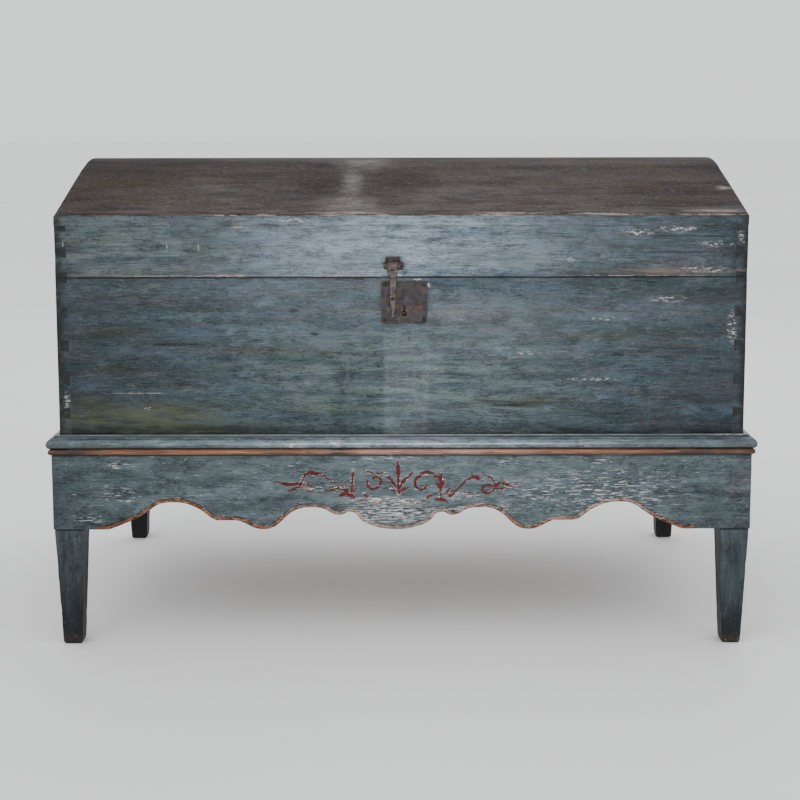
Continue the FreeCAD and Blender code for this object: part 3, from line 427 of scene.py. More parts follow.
# The same milk paint on the stand, kept thicker, with chalky flakes drawn along the grain.
def old_teal_paint(name, grain_axis, scrolled=False):
    paint = bpy.context.scene.chest_paint
    flake = linear("#b3b1b0")
    f = Finish(name, grain_axis)
    broad = f.grain(240, 40, 3.0)
    colour = f.coat(paint.teal, linear("#4e5a5e"), broad, 0.42, 0.60, 0.80)
    colour = f.coat(colour, linear("#2f3a3d"), f.grain(200, 22), 0.50, 0.66, 0.80)
    colour = f.coat(colour, linear("#474d5a"), f.grain(150, 14), 0.54, 0.68, 0.50)
    # Painted shade: the aprons darken toward both ends of the stand, and in a patch just under the band left of the
    # middle.
    ends = f.patches([((-620, 0, 0), (150, ANYWHERE, ANYWHERE)), ((620, 0, 0), (120, ANYWHERE, ANYWHERE)),
                      ((-135, -318, 335), (60, 60, 14))], blur=1.0)
    colour = f.coat(colour, linear("#2b3336"), f.grain(140, 20), 0.20, 0.70, 0.75, ends)
    # Painted light: a paler coat over the middle of the front apron, where the front light falls.
    middle = f.patch((100, -318, 300), (260, 60, 80), blur=1.0)
    colour = f.coat(colour, linear("#6f7d82"), f.grain(120, 16), 0.30, 0.66, 0.50, middle)
    colour, relief = brushed_coats(f, colour, linear("#6a787b"), linear("#1b2224"), 0.6)
    # Painted shade: a dark line all round, just under the half-round band.
    under_band = f.patches([plane_patch(341.0, 3.4)], blur=0.8, ragged=0.4, speck=(40, 4))
    colour = f.coat(colour, linear("#101314"), f.grain(70, 5), 0.15, 0.50, 0.85, under_band)
    if scrolled:
        colour = scroll_coats(f, colour)
        fine = f.patches([((-487, -318, 323), (46, 60, 11)), ((-504, -318, 286), (28, 60, 6)),
                          ((-487, -318, 268), (50, 60, 26)), ((-406, -318, 244), (32, 60, 9)),
                          ((184, -318, 327), (30, 60, 11)), ((338, -318, 330), (50, 60, 9)),
                          ((385, -318, 278), (54, 60, 12)), ((445, -318, 300), (46, 60, 7)),
                          ((330, -318, 275), (230, 60, 60)), ((-47, -318, 310), (32, 60, 8)),
                          ((-20, -318, 336), (90, 60, 6)), ((140, -318, 245), (110, 60, 14)),
                          ((-540, -318, 230), (40, 60, 16)), ((-130, -318, 283), (70, 60, 14)),
                          ((95, -318, 270), (70, 60, 14)), ((-20, -318, 258), (130, 60, 12))], blur=1.0)
        colour = f.coat(colour, linear("#101415"), f.grain(24, 1.8, 6.0, 0.72), 0.55, 0.59, 0.75, fine)
        colour = f.coat(colour, flake, f.grain(19, 1.9, 7.0, 0.70), 0.565, 0.585, 1.0, fine)
        heavy = f.patches([((-17, -318, 238), (112, 60, 26)), ((-40, -318, 262), (90, 60, 8)),
                           ((-66, -318, 226), (50, 60, 14))], blur=0.9, ragged=0.5, speck=(40, 6))
        colour = f.coat(colour, linear("#101415"), f.grain(22, 2.4, 6.0, 0.74), 0.50, 0.56, 0.75, heavy)
        colour = f.coat(colour, flake, f.grain(20, 2.0, 8.0, 0.74), 0.515, 0.535, 1.0, heavy)
        rubbed_and_sheen = f.patches([((573, -318, 280), (16, 60, 34)), ((586, -318, 300), (14, 60, 40))], blur=1.0)
        colour = f.coat(colour, linear("#5a4c58"), f.grain(12, 5), 0.40, 0.60, 0.75, rubbed_and_sheen)
    colour = f.coat(colour, linear("#0c0f10"), f.grain(30, 1.6, 6.0, 0.72), 0.62, 0.65, 0.70)
    colour = f.coat(colour, flake, f.grain(20, 1.7, 7.0, 0.70), 0.650, 0.665, 0.95)
    return f.finish(colour, f.dull(broad, 0.40, 0.50), relief, relief=0.0004, specular=0.12)


def scroll_coats(f, colour):
    """Brick-red scrolls and the copper border of the apron, both rubbed away in places."""
    paint = bpy.context.scene.chest_paint
    scroll = add(f.tree, "ShaderNodeAttribute", attribute_name="scroll").outputs["Fac"]
    away = add(f.tree, "ShaderNodeAttribute", attribute_name="edge_distance").outputs["Fac"]
    red = f.coat(paint.brick, linear("#240a0a"), f.grain(8, 4, 4.0, 0.6), 0.46, 0.62, 0.80)
    red = f.coat(red, linear("#7d4a44"), f.grain(10, 1.6, 5.0, 0.70), 0.64, 0.70, 0.50)
    shadow = add(f.tree, "ShaderNodeMapRange", {"Value": scroll, "From Min": 0.20, "From Max": 0.45}).outputs[0]
    colour = f.coat(colour, linear("#2a2223"), f.grain(10, 5), 0.35, 0.60, 0.45, shadow)
    scroll = add(f.tree, "ShaderNodeMath", {0: f.grain(7, 3.4, 5.0, 0.70), 1: 0.9, 2: scroll},
                 operation="MULTIPLY_ADD").outputs[0]
    scroll = add(f.tree, "ShaderNodeMath", {0: scroll, 1: 0.45}, operation="SUBTRACT").outputs[0]
    rubbed_and_sheen = add(f.tree, "ShaderNodeMapRange", {"Value": f.grain(12, 2.0, 5.0, 0.68), "From Min": 0.72,
                                                "From Max": 0.62}).outputs[0]
    colour = f.coat(colour, red, scroll, 0.42, 0.56, 0.97, rubbed_and_sheen)
    lifted = f.times(scroll, add(f.tree, "ShaderNodeMath", {0: 1.0, 1: scroll}, operation="SUBTRACT").outputs[0])
    lifted = f.times(lifted, f.grain(16, 3.0, 6.0, 0.72))
    colour = f.coat(colour, linear("#b3b1b0"), lifted, 0.130, 0.145, 0.95)
    width = bpy.context.scene.chest_ornament.border_width
    wobble = add(f.tree, "ShaderNodeMath", {0: f.grain(16, 8, 5.0, 0.66), 1: 0.0060, 2: away},
                 operation="MULTIPLY_ADD").outputs[0]
    near = add(f.tree, "ShaderNodeMapRange", {"Value": wobble, "From Min": width + 0.0036,
                                              "From Max": width + 0.0026}).outputs[0]
    border = f.coat(paint.copper, linear("#2b1a12"), f.grain(14, 3.4, 6.0, 0.70), 0.46, 0.58, 0.90)
    chalky = f.patches([((-30, -318, 235), (250, 60, 60)), ((330, -318, 250), (240, 60, 60)),
                        ((-420, -318, 225), (50, 60, 30))], blur=1.0)
    border = f.coat(border, linear("#8a7b78"), f.grain(18, 3.4, 6.0, 0.7), 0.42, 0.52, 0.90, chalky)
    border = f.coat(border, linear("#a8948a"), f.grain(11, 2.4, 6.0, 0.72), 0.56, 0.60, 0.90)
    border = f.coat(border, linear("#0f0a08"), f.grain(10, 2.6, 6.0, 0.74), 0.54, 0.58, 0.90)
    colour = f.coat(colour, border, near, 0.3, 0.7)
    brim = add(f.tree, "ShaderNodeMath", {0: wobble, 1: width + 0.0034}, operation="SUBTRACT").outputs[0]
    brim = add(f.tree, "ShaderNodeMath", {0: brim}, operation="ABSOLUTE").outputs[0]
    brim = add(f.tree, "ShaderNodeMapRange", {"Value": brim, "From Min": 0.0013, "From Max": 0.0005}).outputs[0]
    colour = f.coat(colour, linear("#15100e"), f.grain(20, 4, 5.0), 0.40, 0.54, 0.80, brim)
    # Painted shade: a thin dark line along the rubbed lower edge, where it turns away from the light.
    line = add(f.tree, "ShaderNodeMapRange", {"Value": away, "From Min": 0.0018, "From Max": 0.0006}).outputs[0]
    return f.coat(colour, linear("#140d0a"), f.grain(24, 4, 5.0), 0.36, 0.56, 0.85, line)


# Legs carry the same paint, laid on upright grain, with feet worn to brown wood.
def old_leg_paint(name, dim=0.0):
    f = Finish(name, 2)
    broad = f.grain(160, 20, 3.0)
    colour = f.coat(linear("#333b3f"), linear("#252c2f"), broad, 0.38, 0.60, 0.90)
    upper = f.patch((0, 0, 230), (ANYWHERE, ANYWHERE, 130), blur=1.0)
    colour = f.coat(colour, linear("#465155"), f.grain(120, 14), 0.20, 0.60, 0.80, upper)
    lower = f.patch((0, 0, 10), (ANYWHERE, ANYWHERE, 130), blur=1.0)
    colour = f.coat(colour, linear("#16191a"), f.grain(120, 14), 0.20, 0.60, 0.80, lower)
    colour, relief = brushed_coats(f, colour, linear("#4b5659"), linear("#0e1112"), 0.7)
    left_foot = f.patch((-560, 0, 30), (150, ANYWHERE, 95), blur=1.0)
    colour = f.coat(colour, linear("#16191a"), f.grain(90, 12), 0.10, 0.55, 0.70, left_foot)
    right_leg = f.patch((560, 0, 115), (150, ANYWHERE, 85), blur=1.0)
    colour = f.coat(colour, linear("#4c5a5f"), f.grain(100, 10, 5.0), 0.25, 0.60, 0.32, right_leg)
    joint = f.patches([plane_patch(208.5, 2.0)], blur=0.6)
    colour = f.coat(colour, linear("#0b0c0d"), f.grain(20, 20), 0.10, 0.40, 0.85, joint)
    feet = f.patch((0, 0, 0), (ANYWHERE, ANYWHERE, 24), blur=0.7, ragged=1.2, speck=(16, 6))
    colour = f.coat(colour, linear("#3c2d24"), f.grain(12, 3, 5.0, 0.66), 0.38, 0.60, 0.80, feet)
    colour = f.coat(colour, linear("#77706b"), f.grain(9, 2.4, 6.0, 0.72), 0.60, 0.64, 0.75, feet)
    colour = f.coat(colour, linear("#7f7d7b"), f.grain(16, 1.6, 6.0, 0.7), 0.69, 0.73, 0.7)
    # Painted shade: the dim coat makes a darker copy of the leg paint for the faces that look into the stand.
    if dim:
        colour = f.coat(colour, linear("#0d0e0f"), f.grain(90, 30), dim - 0.3, dim + 0.2, 0.62)
    return f.finish(colour, f.dull(broad, 0.42, 0.56), relief, relief=0.0005, specular=0.15)


# Paint over a planed moulding: smoother and more worn on its nose, so it takes a soft highlight; a pale middle is
# painted highlight, and its ends, underside and grooves carry painted shade.
def moulding_paint(name, grain_axis):
    f = Finish(name, grain_axis)
    broad = f.grain(220, 30, 3.0)
    colour = f.coat(linear("#505c63"), linear("#3e4c53"), broad, 0.40, 0.60, 0.85)
    colour = f.coat(colour, linear("#4a4c52"), f.grain(160, 8), 0.50, 0.66, 0.60)
    # Painted highlight: a paler coat across the middle of the front, where the front light falls.
    middle = f.patch((40, -322, 362), (400, 60, 30), blur=1.0)
    colour = f.coat(colour, linear("#7d8a90"), f.grain(90, 8), 0.25, 0.60, 0.70, middle)
    colour, relief = brushed_coats(f, colour, linear("#8b9aa0"), linear("#12171a"))
    # Painted shade: darker along the low part of the left half, under the nose.
    low_left = f.patch((-430, -320, 355), (330, 60, 8), blur=1.0)
    colour = f.coat(colour, linear("#1d2427"), f.grain(90, 8), 0.10, 0.55, 0.70, low_left)
    # Painted shade: darker at the right of the front and at both ends.
    dim = f.patches([((560, -318, 365), (210, 60, 40)), ((-610, 0, 360), (70, ANYWHERE, 40)),
                     ((620, 0, 360), (50, ANYWHERE, 40))], blur=1.0)
    colour = f.coat(colour, linear("#262d31"), f.grain(70, 12), 0.15, 0.60, 0.52, dim)
    # Painted shade: dark lines in the groove under the top fillet and under the nose.
    grooves = f.patches([plane_patch(372.4, 1.9), plane_patch(353.6, 2.3)], blur=0.6, ragged=0.3, speck=(50, 4))
    colour = f.coat(colour, linear("#0d1012"), f.grain(60, 6), 0.10, 0.45, 0.88, grooves)
    rim = f.patches([plane_patch(375.2, 0.9)], blur=0.4)
    colour = f.coat(colour, linear("#77797c"), f.grain(50, 3, 5.0), 0.36, 0.54, 0.80, rim)
    chips = f.patches([((-112, -322, 363), (16, 40, 9)), ((-190, -322, 360), (20, 40, 6)),
                       ((566, -316, 375), (50, 40, 3))], blur=0.9)
    colour = f.coat(colour, linear("#a7abad"), f.grain(12, 2.6, 7.0, 0.74), 0.48, 0.55, 0.90, chips)
    return f.finish(colour, f.dull(broad, 0.26, 0.36), relief, relief=0.0002, specular=0.45)


# Copper-brown paint on a planed half-round: rubbed pale in the middle of the front, dark at the ends.
def copper_band_paint(name, grain_axis):
    f = Finish(name, grain_axis)
    paint = bpy.context.scene.chest_paint
    broad = f.grain(130, 14, 3.0)
    colour = f.coat(paint.copper, linear("#4b2c1f"), broad, 0.42, 0.60, 0.85)
    rubbed_and_sheen = f.patch((50, -322, 348), (270, 60, 20), blur=1.0, ragged=0.5, speck=(90, 20))
    colour = f.coat(colour, linear("#8e716a"), f.grain(50, 4, 5.0, 0.65), 0.30, 0.56, 0.85, rubbed_and_sheen)
    colour = f.coat(colour, linear("#8a5c44"), f.grain(60, 3, 5.0, 0.65), 0.50, 0.62, 0.80)
    dirty = f.patches([((560, -322, 348), (250, 60, 20)), ((-105, -322, 348), (40, 60, 20)),
                       ((-600, -322, 348), (150, 60, 20))], blur=0.9, ragged=0.5, speck=(90, 20))
    colour = f.coat(colour, linear("#1b1411"), f.grain(60, 4, 5.0, 0.65), 0.25, 0.58, 0.85, dirty)
    colour = f.coat(colour, linear("#a88a76"), f.grain(36, 1.8, 6.0, 0.68), 0.58, 0.70, 0.60)
    dark = f.grain(46, 1.8, 6.0, 0.68)
    colour = f.coat(colour, linear("#150d0a"), dark, 0.50, 0.66, 0.75)
    # Painted shade: dark lines where the band tucks under the moulding's nose and where it meets the apron.
    lines = f.patches([plane_patch(353.0, 1.6), plane_patch(341.0, 1.8)], blur=0.5)
    colour = f.coat(colour, linear("#0d0807"), f.grain(60, 6), 0.10, 0.45, 0.80, lines)
    return f.finish(colour, f.dull(broad, 0.32, 0.46), dark, relief=0.0005, specular=0.35)


# Sawn and planed pine that was never painted: brown with age, its rings drawn along the board.
def bare_pine(name, grain_axis):
    f = Finish(name, grain_axis)
    paint = bpy.context.scene.chest_paint
    rings = f.grain(520, 9, 6.0, 0.62)
    colour = f.coat(paint.pine, linear("#48311f"), rings, 0.42, 0.58, 0.85)
    colour = f.coat(colour, linear("#7c5f42"), f.grain(300, 26, 3.0), 0.48, 0.66, 0.60)
    fibre = f.grain(60, 1.4, 6.0, 0.66)
    colour = f.coat(colour, linear("#2e1e13"), fibre, 0.50, 0.68, 0.75)
    colour = f.coat(colour, linear("#231a14"), f.grain(60, 45, 4.0), 0.54, 0.70, 0.60)
    colour = f.coat(colour, linear("#8d7256"), f.grain(14, 1.6, 6.0, 0.7), 0.60, 0.70, 0.55)
    seam = f.patches([plane_patch(SEAM, 3.0)], blur=0.5)
    colour = f.coat(colour, linear("#191412"), f.grain(40, 20), 0.20, 0.50, 0.75, seam)
    return f.finish(colour, f.dull(rings, 0.62, 0.78), fibre, relief=0.0006, specular=0.25)


# Hammered wrought iron: dark scale, brown rust in the hollows, rubbed brighter where it is handled.
def wrought_iron(name, handled=None, rusted=(), grimed_and_shaded=()):
    f = Finish(name, 0)
    paint = bpy.context.scene.chest_paint
    blotch = f.grain(16, 16, 5.0, 0.6)
    colour = f.coat(paint.iron, linear("#191718"), blotch, 0.42, 0.60, 0.80)
    colour = f.coat(colour, linear("#3a2b25"), f.grain(11, 11, 6.0, 0.68), 0.50, 0.64, 0.75)
    colour = f.coat(colour, linear("#38363c"), f.grain(9, 9, 5.0, 0.65), 0.54, 0.66, 0.60)
    if handled:
        colour = f.coat(colour, linear(handled), f.grain(22, 8, 5.0, 0.65), 0.34, 0.56, 0.85)
        colour = f.coat(colour, linear("#7d716b"), f.grain(6, 3, 5.0, 0.68), 0.57, 0.66, 0.75)
    if rusted:
        spots = f.patches(rusted, blur=0.7, ragged=0.8, speck=(6, 6))
        colour = f.coat(colour, linear("#51291f"), f.grain(4, 3, 5.0, 0.68), 0.32, 0.58, 0.85, spots)
    # Grime and painted shade: near-black spots in hollows and shaded places.
    if grimed_and_shaded:
        colour = f.coat(colour, linear("#060505"), f.grain(3, 3), 0.10, 0.40, 0.95, f.patches(grimed_and_shaded, blur=0.6))
    scale = f.grain(2.4, 2.4, 5.0, 0.66)
    colour = f.coat(colour, linear("#0c0b0b"), scale, 0.56, 0.66, 0.65)
    return f.finish(colour, f.dull(blotch, 0.52, 0.70), f.either(scale, blotch), relief=0.0006,
                    metallic=0.2, specular=0.25)


# Shapes

def cad_copy(nodes):
    """Merged copy of the solids, flat faces made whole."""
    mesh = bmesh.new()
    for node in nodes:
        mesh.from_mesh(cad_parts[node].data)
    bmesh.ops.remove_doubles(mesh, verts=mesh.verts, dist=0.00002)
    bmesh.ops.dissolve_limit(mesh, angle_limit=math.radians(0.2), verts=mesh.verts, edges=mesh.edges)
    return mesh


def cut_across(mesh, place, normal):
    """Cuts the whole mesh along a plane."""
    everything = list(mesh.verts) + list(mesh.edges) + list(mesh.faces)
    bmesh.ops.bisect_plane(mesh, geom=everything, dist=0.00001, plane_co=place, plane_no=normal)


def slice_along(mesh, axis, spacing):
    """Cuts the whole mesh square to an axis at even distances."""
    places = [vert.co[axis] for vert in mesh.verts]
    low, high = min(places), max(places)
    count = max(1, round((high - low) / spacing))
    normal = Vector((axis == 0, axis == 1, axis == 2))
    for index in range(1, count):
        cut_across(mesh, normal * (low + (high - low) * index / count), normal)


def round_edges(mesh, edges, radius, segments=3):
    """Rounds edges and returns the points of the rounding."""
    edges = [edge for edge in edges if edge.is_valid]
    if not edges:
        return []
    made = bmesh.ops.bevel(mesh, geom=edges, offset=radius, offset_type="OFFSET", segments=segments,
                           profile=0.5, affect="EDGES", clamp_overlap=False)
    return made["verts"]


def sharp_edges(mesh, shortest):
    """Convex edges longer than a nail hole's facets."""
    return [edge for edge in mesh.edges if len(edge.link_faces) == 2 and edge.calc_length() > shortest
            and edge.calc_face_angle_signed() > math.radians(30)]


def wear_edges(mesh, arrises, joints, axis):
    """Rounds outer edges, eases joints, cuts narrow strips beside the edges, and dents these unevenly."""
    wear = bpy.context.scene.chest_wear
    runs = [(edge.verts[0].co.copy(), edge.verts[1].co.copy()) for edge in arrises]
    strips = {}
    for edge in arrises:
        start, end = edge.verts[0].co, edge.verts[1].co
        for face in edge.link_faces:
            into = face.normal.cross(end - start).normalized()
            if into.dot(face.calc_center_median() - start) < 0:
                into.negate()
            place = start + into * wear.arris_radius * 3
            strips[tuple(round(part, 3) for part in (*into, place.dot(into)))] = (place, into)
    round_edges(mesh, arrises, wear.arris_radius)
    round_edges(mesh, joints, wear.joint_radius, 1)
    slice_along(mesh, axis, wear.slice_length)
    for place, into in strips.values():
        cut_across(mesh, place, into)
    mesh.normal_update()
    moves = []
    for vert in mesh.verts:
        if any(beside(vert.co, start, end, wear.arris_radius * 1.06) for start, end in runs):
            wave = noise.noise(vert.co * 38 + Vector((SEED, 0, 0))) + 0.6 * noise.noise(vert.co * 110)
            moves.append((vert, -vert.normal * max(0.0, wave - 0.12) * wear.dent_depth))
    for vert, move in moves:
        vert.co += move


def beside(point, start, end, reach):
    """Whether a point lies within reach of a straight run."""
    along = end - start
    share = min(1.0, max(0.0, (point - start).dot(along) / max(along.length_squared, 1e-12)))
    return (point - start - along * share).length < reach


def place_piece(name, mesh, body, nodes, materials, angle=34.0):
    """Puts a finished mesh in the scene in place of its solids."""
    if isinstance(mesh, bmesh.types.BMesh):
        bare = bpy.data.meshes.new(name)
        mesh.normal_update()
        mesh.to_mesh(bare)
        mesh.free()
        mesh = bare
    for material in materials:
        mesh.materials.append(material)
    mesh.polygons.foreach_set("use_smooth", [True] * len(mesh.polygons))
    mesh.set_sharp_from_angle(angle=math.radians(angle))
    piece = bpy.data.objects.new(name, mesh)
    bpy.context.scene.collection.objects.link(piece)
    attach(piece, body)
    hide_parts(*nodes)
    return piece


def worn_board(node, body, materials, grain_axis, outer, inner=None):
    """A board with its outer edges rubbed round and its flush joints just eased."""
    mesh = cad_copy([node])
    sharp = sharp_edges(mesh, 0.0019)
    arrises = [edge for edge in sharp if outer(edge)]
    joints = [edge for edge in sharp if not outer(edge)]
    wear_edges(mesh, arrises, joints, grain_axis)
    if inner is not None:
        mesh.normal_update()
        for face in mesh.faces:
            face.material_index = 1 if inner(face) else 0
    return place_piece(node + "_board", mesh, body, [node], materials)


def on_hull(low, high, axes):
    """Test for edges that lie on two of a box's outer planes."""
    near = 0.0002

    def outer(edge):
        return sum(all(abs(vert.co[axis] - plane) < near for vert in edge.verts)
                   for axis in axes for plane in (low[axis], high[axis])) >= 2
    return outer


def looks_along(direction, low, high):
    """Test for faces that look into the chest, or up or down from its lowest or highest plane."""
    def inner(face):
        level = face.calc_center_median().z
        return face.normal.dot(direction) > 0.8 or abs(face.normal.z) > 0.9 and min(level - low, high - level) < 0.001
    return inner


INWARD = {"front": Vector((0, 1, 0)), "back": Vector((0, -1, 0)), "left": Vector((1, 0, 0)), "right": Vector((-1, 0, 0))}


class ChestOperator:
    bl_options = {"REGISTER", "UNDO"}


class CHEST_OT_box(ChestOperator, bpy.types.Operator):
    """Makes the dovetailed boards of the chest box and its bottom planks"""
    bl_idname = "chest.box"
    bl_label = "Chest Box"

    def execute(self, context):
        long_paint = old_slate_paint("slate_milk_paint", 0)
        end_paint = old_slate_paint("slate_milk_paint_end", 1)
        pine = bare_pine("bare_pine_long", 0)
        end_pine = bare_pine("bare_pine_end", 1)
        high = Vector((CHEST_HIGH.x, CHEST_BACK, CHEST_HIGH.z))
        outer = on_hull(CHEST_LOW, high, (0, 1))
        for side in ("front", "back"):
            worn_board("chest_" + side, "chest", [long_paint, pine], 0, outer,
                       looks_along(INWARD[side], CHEST_LOW.z, CHEST_HIGH.z))
        for side in ("left", "right"):
            worn_board("chest_end_" + side, "chest", [end_paint, end_pine], 1, outer,
                       looks_along(INWARD[side], CHEST_LOW.z, CHEST_HIGH.z))
        for index in (1, 2, 3):
            worn_board("bottom_plank_%d" % index, "chest", [pine], 0, lambda edge: False)
        return {"FINISHED"}


class CHEST_OT_lid(ChestOperator, bpy.types.Operator):
    """Makes the rails, ends and slopes of the roof-shaped lid"""
    bl_idname = "chest.lid"
    bl_label = "Lid"

    def execute(self, context):
        long_paint = old_slate_paint("slate_milk_paint_lid", 0, True)
        end_paint = bpy.data.materials["slate_milk_paint_end"]
        pine = bpy.data.materials["bare_pine_long"]
        end_pine = bpy.data.materials["bare_pine_end"]
        slope_paint = rubbed_slope_paint("rubbed_brown_pine")
        low = Vector((CHEST_LOW.x, FRONT, LID_LOW))
        high = Vector((CHEST_HIGH.x, CHEST_BACK, RIDGE))
        outer = on_hull(low, high, (0, 1))
        for side in ("front", "back"):
            worn_board("lid_" + side + "_rail", "lid", [long_paint, pine], 0, outer,
                       looks_along(INWARD[side], LID_LOW, RIDGE))
        for side in ("left", "right"):
            worn_board("lid_end_" + side, "lid", [end_paint, end_pine], 1, outer,
                       looks_along(INWARD[side], LID_LOW, RIDGE))

        def top_edge(edge):
            return any(face.normal.z > 0.5 for face in edge.link_faces) and \
                any(abs(vert.co.y) > 0.002 for vert in edge.verts)

        def underside(face):
            return face.normal.z < -0.5

        for node in ("lid_slope_front", "lid_slope_back"):
            piece = worn_board(node, "lid", [slope_paint, pine, long_paint], 0, top_edge, underside)
            for polygon in piece.data.polygons:
                if abs(polygon.normal.y) > 0.93:
                    polygon.material_index = 2
        return {"FINISHED"}


# Scrolls on the front apron. Each stroke is a run of places across and up from the foot of the
# middle leaf, in millimetres, and the half widths at its start, middle and end.
SCROLL_ROOT = (-6.0, 282.0)
SCROLL_STROKES = (
    # Middle leaf and the four beside it
    (((0, 49), (0, 42), (0, 30), (0, 14), (0, 0)), (0.4, 3.6, 1.0)),
    (((26, 29), (19, 22), (11, 15), (6, 8), (1, -1)), (0.4, 3.0, 1.1)),
    (((-22, 21), (-17, 20), (-12, 15), (-7, 7), (-2, -1)), (1.0, 2.0, 1.1)),
    (((20, 1), (13, 0), (6, -3), (2, -8)), (0.5, 1.6, 0.8)),
    (((-17, 2), (-11, -2), (-6, -6), (-2, -9)), (0.5, 1.5, 0.8)),
    (((0, 0), (1, -8), (4, -13)), (1.6, 1.5, 0.8)),
    # Round scroll at the left, with its leaf above
    (((-53, 13), (-53, 6), (-48, 0), (-41, -1), (-33, 4), (-29, 12), (-32, 18), (-39, 20), (-44, 17)), (2.0, 1.7, 1.1)),
    (((-60, 33), (-53, 30), (-45, 26), (-36, 25), (-28, 27), (-22, 24)), (0.8, 1.2, 0.8)),
    # Round scroll at the right, with its leaf above
    (((38, 24), (42, 27), (49, 28), (56, 28), (64, 25)), (1.0, 3.2, 0.5)),
    (((38, 21), (32, 18), (29, 10), (31, 2), (38, -2), (44, -1), (49, 3)), (2.2, 1.8, 1.9)),
    # Upright sprig at the left
    (((-77, 34), (-78, 26), (-79, 17), (-79, 8), (-80, -2), (-81, -14)), (1.4, 2.0, 1.3)),
    (((-99, -10), (-91, -9), (-83, -12), (-74, -16)), (1.6, 3.4, 1.0)),
    (((-93, 13), (-90, 4), (-87, -5)), (0.4, 1.2, 1.4)),
    (((-70, 6), (-74, -2), (-78, -10)), (0.4, 1.0, 1.2)),
    # Running stem at the left, its bud and its outer sprig
    (((-90, -4), (-100, 0), (-109, 8), (-119, 16), (-128, 22), (-135, 26)), (1.6, 1.2, 0.8)),
    (((-128, 22), (-138, 27), (-149, 29), (-158, 26), (-164, 18), (-168, 6)), (0.8, 2.1, 1.8)),
    (((-134, 27), (-143, 25), (-152, 25)), (0.6, 2.2, 0.6)),
    (((-168, 5), (-177, 9), (-188, 7), (-200, 9), (-213, 12)), (1.8, 2.9, 0.6)),
    (((-168, 4), (-161, 3), (-154, 7), (-158, 11)), (1.6, 2.0, 1.2)),
    (((-171, 3), (-178, 0), (-186, -4), (-190, -3)), (0.8, 1.8, 0.6)),
    (((-160, 1), (-152, -4), (-146, -2)), (0.8, 1.8, 0.6)),
    (((-97, -2), (-106, 0), (-116, -3), (-127, -5)), (1.2, 1.8, 0.5)),
    (((-90, -10), (-97, -12), (-104, -14)), (2.0, 1.6, 0.5)),
    # Low stems that run from the sprigs to the middle
    (((-76, -18), (-62, -21), (-49, -20), (-37, -26), (-23, -25)), (1.4, 1.6, 0.6)),
    (((-59, -9), (-55, -14), (-51, -20)), (1.4, 2.2, 1.0)),
    (((46, -21), (54, -14), (58, -12)), (0.8, 2.6, 0.8)),
    (((20, -24), (32, -25), (44, -22)), (0.5, 1.0, 0.8)),
    # Upright sprig at the right
    (((76, 30), (74, 22), (74, 12), (73, 2), (73, -8), (74, -18)), (0.8, 2.6, 1.3)),
    (((62, 21), (69, 20), (73, 13)), (1.4, 2.2, 1.4)),
    (((80, 18), (78, 10), (75, 0)), (1.2, 1.4, 1.2)),
    (((67, 8), (70, 4), (72, -2)), (1.6, 2.2, 1.2)),
    (((63, -21), (73, -19), (85, -23)), (0.8, 3.4, 0.8)),
    (((93, 4), (86, -4), (82, -12)), (0.4, 1.5, 0.8)),
    (((96, -1), (91, -7), (87, -13)), (0.4, 1.1, 0.7)),
    # Running stem at the right, its bud, scroll and outer sprig
    (((90, -14), (96, -8), (102, -2), (110, 6), (117, 14), (125, 18)), (2.4, 1.3, 1.2)),
    (((123, 18), (131, 20), (139, 17), (142, 15)), (1.2, 3.2, 0.8)),
    (((137, 22), (145, 24), (153, 22), (162, 17), (166, 9), (168, 2)), (0.5, 1.0, 1.6)),
    (((168, 1), (164, -5), (157, -8), (149, -7), (145, -1), (149, 4), (156, 6), (164, 4)), (1.6, 1.9, 1.4)),
    (((168, 2), (175, 10), (183, 7), (193, 4), (201, 6), (211, 7)), (1.6, 2.2, 0.8)),
    (((170, 0), (178, -2), (186, 1)), (0.8, 1.8, 0.6)),
    (((180, 11), (188, 9), (195, 2)), (0.8, 1.4, 0.8)),
    (((112, -6), (120, -9), (131, -10)), (0.5, 2.2, 0.8)),
)


def smooth_run(places, steps=6):
    """More places along a run, on a curve that passes through the given ones."""
    points = [Vector(place) for place in places]
    points = [points[0] * 2 - points[1]] + points + [points[-1] * 2 - points[-2]]
    run = []
    for index in range(1, len(points) - 2):
        before, start, end, after = points[index - 1:index + 3]
        for step in range(steps):
            t = step / steps
            run.append(0.5 * (2 * start + (end - before) * t
                              + (2 * before - 5 * start + 4 * end - after) * t * t
                              + (3 * start - before - 3 * end + after) * t ** 3))
    return run + [points[-2]]


def scroll_cover(x, z):
    """How far each place, in metres, lies under a stroke: 0.5 on its edge, 1 inside and 0 outside."""
    px = x * 1000 - SCROLL_ROOT[0]
    pz = z * 1000 - SCROLL_ROOT[1]
    cover = np.zeros(len(x))
    for places, widths in SCROLL_STROKES:
        run = smooth_run(places)
        spread = np.interp(np.linspace(0, 2, len(run)), (0, 1, 2), widths)
        for index in range(len(run) - 1):
            start, end = run[index], run[index + 1]
            along = end - start
            length = max(along.length_squared, 1e-9)
            t = np.clip(((px - start.x) * along.x + (pz - start.y) * along.y) / length, 0, 1)
            gap = np.hypot(px - start.x - t * along.x, pz - start.y - t * along.y)
            half = 1.05 * (spread[index] + (spread[index + 1] - spread[index]) * t) + 0.3
            cover = np.maximum(cover, np.clip(0.5 + (half - gap) / 3.0, 0, 1))
    return cover


def lower_outline(node):
    """Lower edge of an apron's front face, read from its solid, from left to right."""
    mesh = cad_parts[node].data
    low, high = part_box(node)
    places = sorted({(round(vert.co.x, 5), round(vert.co.z, 5)) for vert in mesh.vertices
                     if abs(vert.co.y - low.y) < 0.0001 and vert.co.z < high.z - 0.02})
    return np.array(places)


